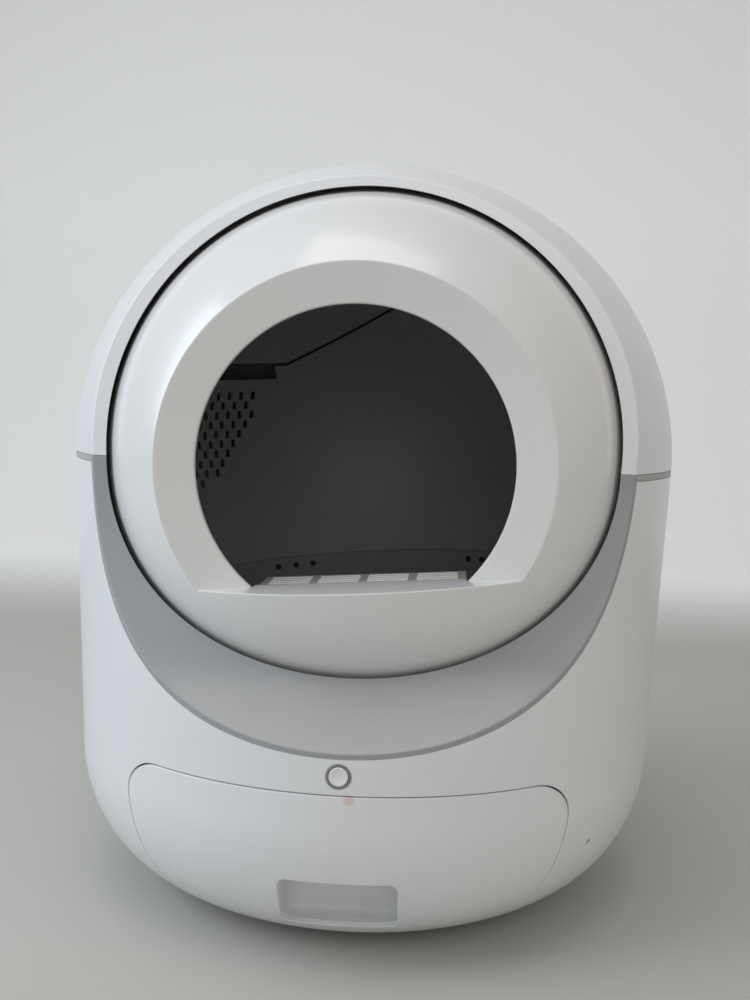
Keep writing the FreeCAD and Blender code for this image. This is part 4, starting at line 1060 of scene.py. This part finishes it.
@dataclass
class Hood:
    """The lift-off dome with its flat front rim."""

    rounding: float = 1.1
    wall: float = 2.2
    lip_depth: float = 16.0
    lip_easing: float = 1.2
    corner_blend: float = 6.0
    rim_middle: float = 500.0
    spacing: float = 6.0

    def dome_surface(self, flat: Array) -> tuple[Array, Array]:
        """The dome: the flat radius is the angle down from the top times the body's radius."""
        down = np.linalg.norm(flat, axis=1) / BODY_RADIUS
        turn = np.arctan2(flat[:, 0], -flat[:, 1])
        points = revolved(BODY_RADIUS * np.sin(down), turn, SEAM_HEIGHT + DOME_HEIGHT * np.cos(down))
        return points, self.dome_normal(points)

    @staticmethod
    def dome_normal(points: Array) -> Array:
        """Outward direction on the dome, the gradient of its ellipsoid."""
        scaled = points - [0, 0, SEAM_HEIGHT]
        return unit(scaled / [BODY_RADIUS ** 2, BODY_RADIUS ** 2, DOME_HEIGHT ** 2])

    @staticmethod
    def dome_flat(points: Array) -> Array:
        """Where points on the dome lie in dome_surface's two numbers."""
        up = (points[:, 2] - SEAM_HEIGHT) / DOME_HEIGHT
        wide = np.linalg.norm(points[:, :2], axis=1) / BODY_RADIUS
        down = np.arctan2(wide, up) * BODY_RADIUS
        turn = np.arctan2(points[:, 0], -points[:, 1])
        return np.stack([down * np.sin(turn), -down * np.cos(turn)], axis=1)

    def rim_line(self) -> Array:
        """Where the rim's plane cuts the dome: an ellipse, from the left seam corner over the top."""
        up_y, up_z = math.sin(RIM_LEAN), math.cos(RIM_LEAN)
        square = BODY_RADIUS ** 2 * up_z ** 2 / DOME_HEIGHT ** 2 + up_y ** 2
        middle = RIM_SETBACK * up_y / square
        high = math.sqrt((BODY_RADIUS ** 2 - RIM_SETBACK ** 2) / square + middle ** 2)
        start = math.asin(-middle / high)
        turn = np.linspace(math.pi - start, start, 301)
        up = middle + high * np.sin(turn)
        return np.stack([math.sqrt(square) * high * np.cos(turn), up * up_y - RIM_SETBACK,
                         SEAM_HEIGHT + up * up_z], axis=1)

    def shoulder(self, line: Array, facing: Array) -> tuple[Array, Array]:
        """Where the rounded shoulder along the rim's outer line ends on the dome and on the rim.

        At the seam both directions turn level, so that the corner stands flat on the joint.

        Args:
            line: The rim's outer line.
            facing: The rim's outward direction.

        Returns:
            The line on the dome and the line on the rim.
        """
        travel = along(line, closed=False)
        back = agreeing(unit(np.cross(travel, self.dome_normal(line))), -facing)
        level = agreeing(unit(np.stack([-line[:, 1], line[:, 0], 0 * line[:, 0]], axis=1)), back)
        fade = np.clip(1 - (line[:, 2] - SEAM_HEIGHT) / self.corner_blend, 0, 1)[:, None]
        back = unit(back * (1 - fade) + level * fade)
        middle = ([0, 0, self.rim_middle] - line) * [1, 0, 1]
        inwards = agreeing(unit(np.cross(travel, facing)), middle)
        straight = -np.sign(line) * [1, 0, 0]
        inwards = unit(inwards * (1 - fade) + straight * fade)
        return line + self.rounding * back, line + self.rounding * inwards

    def shell(self) -> bpy.types.Object:
        """The hood: dome, rounded shoulder, flat rim, rounded inner edge and the lip round the drum."""
        skin = Skin()
        facing = np.array([0.0, -math.cos(RIM_LEAN), math.sin(RIM_LEAN)])
        line = self.rim_line()
        on_dome, on_rim = self.shoulder(line, facing)
        skin.grid(bezier(on_dome, line, on_rim, 5))
        ahead = float((np.array([0, -RIM_SETBACK, SEAM_HEIGHT]) - DRUM_CENTRE) @ facing)
        radius = math.sqrt(CLEAR_RADIUS ** 2 - ahead ** 2)
        up = np.array([0.0, math.sin(RIM_LEAN), math.cos(RIM_LEAN)])
        centre = DRUM_CENTRE + ahead * facing
        first = math.asin((SEAM_HEIGHT - centre[2]) / (radius * up[2]))
        turn = np.linspace(math.pi - first, first, len(line))[:, None]
        spoke = np.cos(turn) * [1.0, 0, 0] + np.sin(turn) * up
        inner = centre + radius * spoke
        wide = centre + (radius + self.rounding) * spoke
        wide[[0, -1]] = inner[[0, -1]] + self.rounding * np.sign(inner[[0, -1], :1]) * [[1.0, 0, 0]]
        at = np.linspace(0, 1, 9)[:, None, None]
        skin.grid(on_rim[None] * (1 - at) + wide[None] * at)
        steps = self.rounding + (self.lip_depth - self.rounding) * np.linspace(0, 1, 8) ** self.lip_easing
        rows = ball_rows(inner, steps, CLEAR_RADIUS)
        skin.grid(bezier(wide, inner, rows[0], 5))
        skin.grid(rows)
        ends = math.atan2(on_dome[-1, 0], -on_dome[-1, 1])
        seam = revolved(BODY_RADIUS, np.linspace(ends, 2 * math.pi - ends, 230)[1:-1], SEAM_HEIGHT)
        outer = self.dome_flat(np.concatenate([on_dome, seam]))
        skin.sheet(self.dome_surface, outer, [], self.spacing, 0.0)
        return skin.lift("hood_shell", thickness=self.wall)

    def build(self, dresser: Dresser) -> None:
        """Makes and dresses the piece."""
        dresser.dress(self.shell(), "shell_white", Body.HOOD, "hood")


@dataclass
class Drum:
    """The turning ball's front: shell, matt entrance ring and sill."""

    spacing: float = 6.0
    window_round: float = 0.5
    window_overlap: float = 0.1
    dish_front: float = -178.0
    dish_depth: float = 5.05
    face_gap: float = 0.25
    face_round: float = 0.5
    face_side: float = 2.4
    face_wall: float = 1.5
    opening_radius: float = 125.0
    opening_round: float = 1.6
    grille_half_width: float = 84.0
    grille_front: float = -169.0
    sill_half_width: float = 126.6
    sill_front_count: int = 120
    sill_round: float = 1.3
    sill_back_round: float = 0.15
    sill_middle: float = -195.0
    sill_tuck: float = 0.4
    sill_spacing: float = 5.0

    @staticmethod
    def ball_surface(flat: Array) -> tuple[Array, Array]:
        """The ball's front half: the flat radius is the angle from the axis times the ball's radius."""
        tilt = np.linalg.norm(flat, axis=1) / DRUM_RADIUS
        around = np.arctan2(flat[:, 1], flat[:, 0])
        wide = np.sin(tilt)
        normals = np.stack([wide * np.cos(around), -np.cos(tilt), wide * np.sin(around)], axis=1)
        return normals * DRUM_RADIUS, normals

    @staticmethod
    def ball_flat(points: Array) -> Array:
        """Where points on the ball lie in ball_surface's two numbers."""
        tilt = np.arctan2(np.hypot(points[:, 0], points[:, 2]), -points[:, 1]) * DRUM_RADIUS
        around = np.arctan2(points[:, 2], points[:, 0])
        return np.stack([tilt * np.cos(around), tilt * np.sin(around)], axis=1)

    def parked(self, surface: Surface) -> Surface:
        """A surface of the drum's own frame, as one of the housing's."""
        def moved(flat: Array) -> tuple[Array, Array]:
            """The surface in place."""
            points, normals = surface(flat)
            return park(points), park(normals) - DRUM_CENTRE
        return moved

    def front_shell(self) -> bpy.types.Object:
        """The ball's front half with the window of the entrance."""
        skin = Skin()
        drop = SILL_DROP + SILL_THICKNESS - self.window_overlap
        chord = math.sqrt(FACE_RADIUS ** 2 - drop ** 2)
        start = -math.asin(drop / FACE_RADIUS)
        ring = circle(FACE_RADIUS, np.linspace(start, math.pi - start, 200))
        level = np.stack([np.linspace(-chord, chord, 70), np.full(70, -drop)], axis=1)[1:-1]
        window = np.concatenate([ring, level])
        tall = np.sqrt(DRUM_RADIUS ** 2 - (window ** 2).sum(axis=1))
        line = np.stack([window[:, 0], -tall, window[:, 1]], axis=1)
        away_from_axis = line * [1.05, 1.0, 1.05]
        edge = Edge.of(line, unit(line), away_from_axis, self.window_round)
        skin.grid(park(np.array(edge.rows(DRUM_WALL))), closed=True)
        around = np.linspace(0, 2 * math.pi, 360, endpoint=False)
        rim = DRUM_RADIUS * np.stack([np.cos(around), 0 * around, np.sin(around)], axis=1)
        skin.grid(park(np.array([rim, rim * (DRUM_RADIUS - DRUM_WALL) / DRUM_RADIUS])), closed=True)
        skin.sheet(self.parked(self.ball_surface), self.ball_flat(rim), [self.ball_flat(edge.set_back)],
                   self.spacing, DRUM_WALL)
        return skin.lift("drum_front")

    def face(self) -> bpy.types.Object:
        """The dished entrance ring: a profile turned about the drum's axis down to the sill."""
        skin = Skin()
        outer, front = FACE_RADIUS - self.face_gap, self.dish_front - self.dish_depth
        edge, bend = self.face_round, self.opening_round
        inner = self.opening_radius + bend
        turn = np.linspace(0, math.pi / 2, 6)
        round_out = circle(edge, -turn) + [outer - edge, front + edge]
        share = np.linspace(0, 1, 9)[1:, None]
        dish = round_out[-1] * (1 - share) + np.array([inner, self.dish_front]) * share
        round_in = np.array([inner, self.dish_front + bend]) - circle(bend, turn)[:, ::-1]
        profile = np.concatenate([[[outer, front + self.face_side]], round_out, dish, round_in[1:],
                                  [[self.opening_radius, self.dish_front + bend + self.face_side]]])
        r, y = profile[:, :1], profile[:, 1:]
        start = -np.arcsin(SILL_DROP / r)
        around = start + (math.pi - 2 * start) * np.linspace(0, 1, 241)
        skin.grid(park(np.stack([r * np.cos(around), y + 0 * around, r * np.sin(around)], axis=-1)))
        return skin.lift("entrance_ring", thickness=self.face_wall, sharp=50.0)

    @staticmethod
    def plate(flat: Array) -> tuple[Array, Array]:
        """The sill's level top: x and y."""
        zero = 0 * flat[:, 0]
        return np.column_stack([flat, zero - SILL_DROP]), np.stack([zero, zero, zero + 1], axis=1)

    def sill_loop(self, drop: float) -> Array:
        """The sill's border at a level: its front on the ball, its back at the entrance ring's foot."""
        reach = math.sqrt(DRUM_RADIUS ** 2 - drop ** 2)
        x = np.linspace(-self.sill_half_width, self.sill_half_width, self.sill_front_count)
        front = np.stack([x, -np.sqrt(reach ** 2 - x * x)], axis=1)
        x = np.linspace(self.sill_half_width, self.grille_half_width, 20)
        foot = np.stack([x, self.dish_at(np.hypot(x, SILL_DROP)) + self.sill_tuck], axis=1)[1:]
        x = np.linspace(self.grille_half_width, -self.grille_half_width, 60)
        step = np.stack([x, np.full(60, self.grille_front)], axis=1)
        loop = np.concatenate([front, foot, step, (foot * [-1, 1])[::-1]])
        return np.column_stack([loop, np.full(len(loop), -drop)])

    def sill(self) -> bpy.types.Object:
        """The level plate in the entrance, its front edge rolled onto the ball."""
        skin = Skin()
        line = self.sill_loop(SILL_DROP)
        back = self.sill_loop(SILL_DROP + SILL_THICKNESS)
        middle = np.array([[0.0, self.sill_middle, -SILL_DROP]])
        edge = Edge.of(line, np.tile([0.0, 0.0, 1.0], (len(line), 1)), middle, self.sill_round, back - line)
        rolled = (np.arange(len(line)) < self.sill_front_count)[:, None]
        edge.inward = np.where(rolled, unit(-line * [1, 1, 0]), edge.inward)
        edge.rounding = np.where(rolled, self.sill_round, self.sill_back_round)
        skin.grid(park(np.array(edge.rows(SILL_THICKNESS, back))), closed=True)
        skin.sheet(self.parked(self.plate), edge.set_back[:, :2], [], self.sill_spacing, SILL_THICKNESS)
        return skin.lift("entrance_sill")

    def dish_at(self, radius: Array) -> Array:
        """How far forward the entrance ring's face is at a distance from the drum's axis."""
        inner, outer = self.opening_radius + self.opening_round, FACE_RADIUS - 0.75
        return self.dish_front - self.dish_depth * np.clip((radius - inner) / (outer - inner), 0, 1)

    def build(self, dresser: Dresser) -> None:
        """Makes and dresses the pieces."""
        dresser.dress(self.front_shell(), "drum_white", Body.DRUM, "drum_front_shell")
        dresser.dress(self.face(), "face_matt", Body.DRUM, "entry_face")
        dresser.dress(self.sill(), "drum_white", Body.DRUM, "entry_sill")
        dresser.refine("sill_grille", "tread_grey", Body.DRUM, bevel=0.0004)
        dresser.refine("grille_slats", "drum_white", Body.DRUM, bevel=0.0005)
        for name in ("drum_lining", "septum_panel", "sieve_screen"):
            dresser.refine(name, "lining_dark", Body.DRUM)
        dresser.refine("litter_bed", "bed_rubber", Body.DRUM)


@dataclass
class Drawer:
    """The drawer's panel with its grip pocket."""

    panel: float = 4.0
    edge_round: float = 1.0
    grip_round: float = 1.8
    grip_depth: float = 5.0
    pocket_half_width: float = 46.5
    pocket_bottom: float = 36.0
    pocket_top: float = 84.0
    pocket_round: float = 7.0
    pocket_back: float = -204.0
    pocket_corner: float = 6.8
    pocket_start: float = 3.0
    pocket_wall: float = 2.5
    pocket_gap: float = 0.05
    panel_middle: tuple[float, float, float] = (0.0, -260.0, 95.0)
    spacing: float = 5.0

    def front(self) -> bpy.types.Object:
        """The panel: the housing's own curve trimmed to the outline, and a cup behind the grip."""
        skin = Skin()
        line = on_wall_front(drawer_loop(0.0))
        edge = Edge.of(line, wall_normal(line), np.array([self.panel_middle]), self.edge_round)
        skin.grid(edge.rows(self.panel), closed=True)
        hole = round_box(self.pocket_half_width, self.pocket_bottom, self.pocket_top, self.pocket_round)
        rim = on_wall_front(hole)
        backwards = np.tile([0.0, 1.0, 0.0], (len(rim), 1))
        grip = Edge.of(rim, wall_normal(rim), 2 * rim - rim.mean(axis=0), self.grip_round, backwards)
        skin.grid(grip.rows(self.panel, rim + self.grip_depth * backwards), closed=True)
        outer, opening = wall_flat(edge.set_back), wall_flat(grip.set_back)
        skin.sheet(wall_surface, outer, [opening], self.spacing, self.panel)
        self.cup(skin, hole)
        return skin.lift("drawer_panel")

    def cup(self, skin: Skin, hole: Array) -> None:
        """Adds the pocket's walls, its rounded floor edge and its back, as a closed cup.

        Args:
            skin: What it is added to.
            hole: The grip's outline as (x, z).
        """
        centre = np.array([0.0, (self.pocket_bottom + self.pocket_top) / 2])
        out = agreeing(unit(along(hole)[:, ::-1] * [1, -1]), hole - centre)
        start = on_wall_front(hole)[:, 1] + self.pocket_start

        def ring(grow: float, y: Array | float) -> Array:
            """The outline grown by so much, that far back."""
            wide = hole + grow * out
            return np.column_stack([wide[:, 0], y + 0 * start, wide[:, 1]])

        bend = self.pocket_corner
        rows = [ring(-self.pocket_gap, start * (1 - share) + (self.pocket_back - bend) * share)
                for share in np.linspace(0, 1, 5)]
        rows += [ring(-bend * (1 - math.cos(angle)), self.pocket_back - bend * (1 - math.sin(angle)))
                 for angle in np.linspace(0, math.pi / 2, 7)[1:]]
        skin.grid(rows, closed=True)
        skin.cap(rows[-1])
        shell = [ring(self.pocket_wall, start), ring(self.pocket_wall, self.pocket_back + self.pocket_wall)]
        skin.grid([rows[0], *shell], closed=True)
        skin.cap(shell[1])

    def build(self, dresser: Dresser) -> None:
        """Makes and dresses the piece."""
        dresser.dress(self.front(), "shell_white", Body.DRAWER, "drawer_front")


@dataclass
class StartButton:
    """The round button above the drawer and the ring round it."""

    cap_radius: float = 7.4
    cap_length: float = 6.0
    cap_proud: float = 0.8
    cap_round: float = 0.7
    dish_share: float = 0.84
    dish_depth: float = 0.9
    stem_radius: float = 2.4
    stem_end: float = 18.0
    pin_hole: float = 0.02
    clearance: float = 0.35
    ring_gap: float = 0.1
    ring_length: float = 5.8
    crest_start: float = 0.2
    crest_height: float = 0.6

    @property
    def face(self) -> float:
        """The wall's front at the button."""
        return -float(wall_radius(BUTTON_HEIGHT))

    def ring(self) -> bpy.types.Object:
        """The ring: a closed profile with a rounded crest."""
        bore, outer = self.cap_radius + self.clearance, BUTTON_HOLE_RADIUS - self.ring_gap
        turn, half = np.linspace(math.pi, 0, 9), (outer - bore) / 2
        crest = np.stack([bore + half + half * np.cos(turn),
                          self.face + self.crest_start - self.crest_height * np.sin(turn)], axis=1)
        back = self.face + self.ring_length
        profile = np.concatenate([[[bore, back]], crest, [[outer, back], [bore, back]]])
        skin = Skin()
        skin.grid(turned(profile, BUTTON_HEIGHT), closed=True)
        return skin.lift("button_collar")

    def cap(self) -> bpy.types.Object:
        """The cap: a shallow dish, a rounded edge, a plain side and a stem, closed at both ends."""
        face, r, bend = self.face - self.cap_proud, self.cap_radius, self.cap_round
        inner = np.linspace(self.pin_hole, self.dish_share * r, 9)
        dish = np.stack([inner, face + self.dish_depth * (1 - (inner / (self.dish_share * r)) ** 2)], axis=1)
        crest = circle(bend, -np.linspace(math.pi / 2, 0, 6)) + [r - bend, face + bend]
        back, end = face + self.cap_length, face + self.stem_end
        side = [[r, back], [self.stem_radius, back], [self.stem_radius, end], [self.pin_hole, end]]
        skin = Skin()
        rows = turned(np.concatenate([dish, crest, side]), BUTTON_HEIGHT)
        skin.grid(rows, closed=True)
        skin.cap(rows[0])
        skin.cap(rows[-1])
        return skin.lift("button_cap")

    def build(self, dresser: Dresser) -> None:
        """Makes and dresses the pieces."""
        dresser.dress(self.ring(), "ring_grey", Body.HOUSING, "button_ring")
        dresser.dress(self.cap(), "drum_white", Body.BUTTON, "start_button")


def aimed(holder: bpy.types.Object, place: Sequence[float], right: Array, above: Array,
          ahead: Array) -> bpy.types.Object:
    """A camera or lamp set in its place and turned to look ahead."""
    turn = Matrix(np.stack([right, above, -ahead], axis=1).tolist()).to_4x4()
    holder.matrix_world = Matrix.Translation(place) @ turn
    return holder


@dataclass
class Studio:
    """Floor, lights and camera."""

    lens: float = 39.6
    camera_place: tuple[float, float, float] = (0.0737, -1.09314, 0.4534)
    pitch: float = math.radians(5.21)
    yaw: float = math.radians(-3.83)
    roll: float = math.radians(-1.90)
    ground: str = "bdbcb6"
    backdrop: str = "f4f4f3"
    backdrop_glow: float = 0.14
    backdrop_start: tuple[float, float] = (0.9, 2.0)
    world_light: float = 0.26
    lamps_aim: tuple[float, float, float] = (0.0, 0.0, 0.33)

    def camera(self) -> None:
        """Sets the camera: the view direction from yaw and pitch, then rolled about itself."""
        cy, sy, cp, sp = math.cos(self.yaw), math.sin(self.yaw), math.cos(self.pitch), math.sin(self.pitch)
        ahead = np.array([sy * cp, cy * cp, -sp])
        right = np.array([cy, -sy, 0.0])
        down = np.cross(ahead, right)
        c, s = math.cos(self.roll), math.sin(self.roll)
        right, down = c * right + s * down, -s * right + c * down
        data = bpy.data.cameras.new("view")
        data.lens = self.lens
        data.sensor_width = 36.0
        data.sensor_fit = "AUTO"
        bpy.context.scene.camera = aimed(linked("view", data), self.camera_place, right, -down, ahead)

    def floor(self) -> None:
        """A plain floor that curves up behind the object into the backdrop."""
        x = np.linspace(-6.0, 6.0, 9)
        turn = np.linspace(0, math.pi / 2, 13)
        y = np.concatenate([[-6.0, -2.0, 0.0], 2.2 + 1.2 * np.sin(turn), [3.4]])
        z = np.concatenate([[0.0, 0.0, 0.0], 1.2 * (1 - np.cos(turn)), [5.0]])
        rows = np.stack([np.stack([x, 0 * x + b, 0 * x + c], axis=1) for b, c in zip(y, z)])
        mesh = bpy.data.meshes.new("floor")
        mesh.from_pydata(rows.reshape(-1, 3).tolist(), [], quads(*rows.shape[:2]).tolist())
        mesh.polygons.foreach_set("use_smooth", [True] * len(mesh.polygons))
        floor = linked("floor", mesh)
        graph = Graph("floor")
        far = graph.axis("Y").ramp(*self.backdrop_start)
        colour = graph.blend(far, linear(self.ground), linear(self.backdrop))
        graph.feed(graph.shader.inputs["Base Color"], colour)
        graph.feed(graph.shader.inputs["Emission Strength"], far * self.backdrop_glow)
        graph.shader.inputs["Emission Color"].default_value = (1.0, 1.0, 1.0, 1.0)
        graph.shader.inputs["Roughness"].default_value = 0.9
        mesh.materials.append(graph.material)

    def lamp(self, name: str, place: Sequence[float], size: float, power: float,
             colour: Sequence[float]) -> None:
        """A square soft light that looks at the object's middle.

        Args:
            name: The light's name.
            place: Where it hangs, in metres.
            size: Its side.
            power: Its watts.
            colour: Its tint.
        """
        data = bpy.data.lights.new(name, "AREA")
        data.size = size
        data.energy = power
        data.color = colour
        ahead = unit(np.array(self.lamps_aim) - np.array(place))
        right = unit(np.cross(ahead, [0.0, 0.0, 1.0]))
        aimed(linked(name, data), place, right, np.cross(right, ahead), ahead)

    def build(self) -> None:
        """Sets the whole studio."""
        scene = bpy.context.scene
        scene.view_settings.view_transform = "Standard"
        world = bpy.data.worlds.new("studio")
        world.use_nodes = True
        background = world.node_tree.nodes["Background"]
        background.inputs["Color"].default_value = (1.0, 1.0, 1.0, 1.0)
        background.inputs["Strength"].default_value = self.world_light
        scene.world = world
        self.camera()
        self.floor()
        self.lamp("window_left", (-2.6, -0.8, 1.6), 2.2, 54.0, (0.8, 0.9, 1.0))
        self.lamp("room_right", (2.2, -1.6, 1.2), 1.6, 7.5, (1.0, 0.88, 0.76))
        self.lamp("ceiling", (-0.2, -0.6, 2.8), 1.8, 19.0, (1.0, 0.98, 0.95))
        self.lamp("front_fill", (0.2, -2.6, 1.5), 2.4, 12.0, (1.0, 1.0, 1.0))


def main() -> None:
    """Loads the frame, builds every piece and sets the studio."""
    logging.basicConfig(level=logging.INFO, format="%(message)s")
    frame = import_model()
    dresser = Dresser(frame)
    for group in (Housing(), Hood(), Drum(), Drawer(), StartButton()):
        group.build(dresser)
    dresser.dress_nodes()
    Studio().build()


if __name__ == "__main__":
    main()
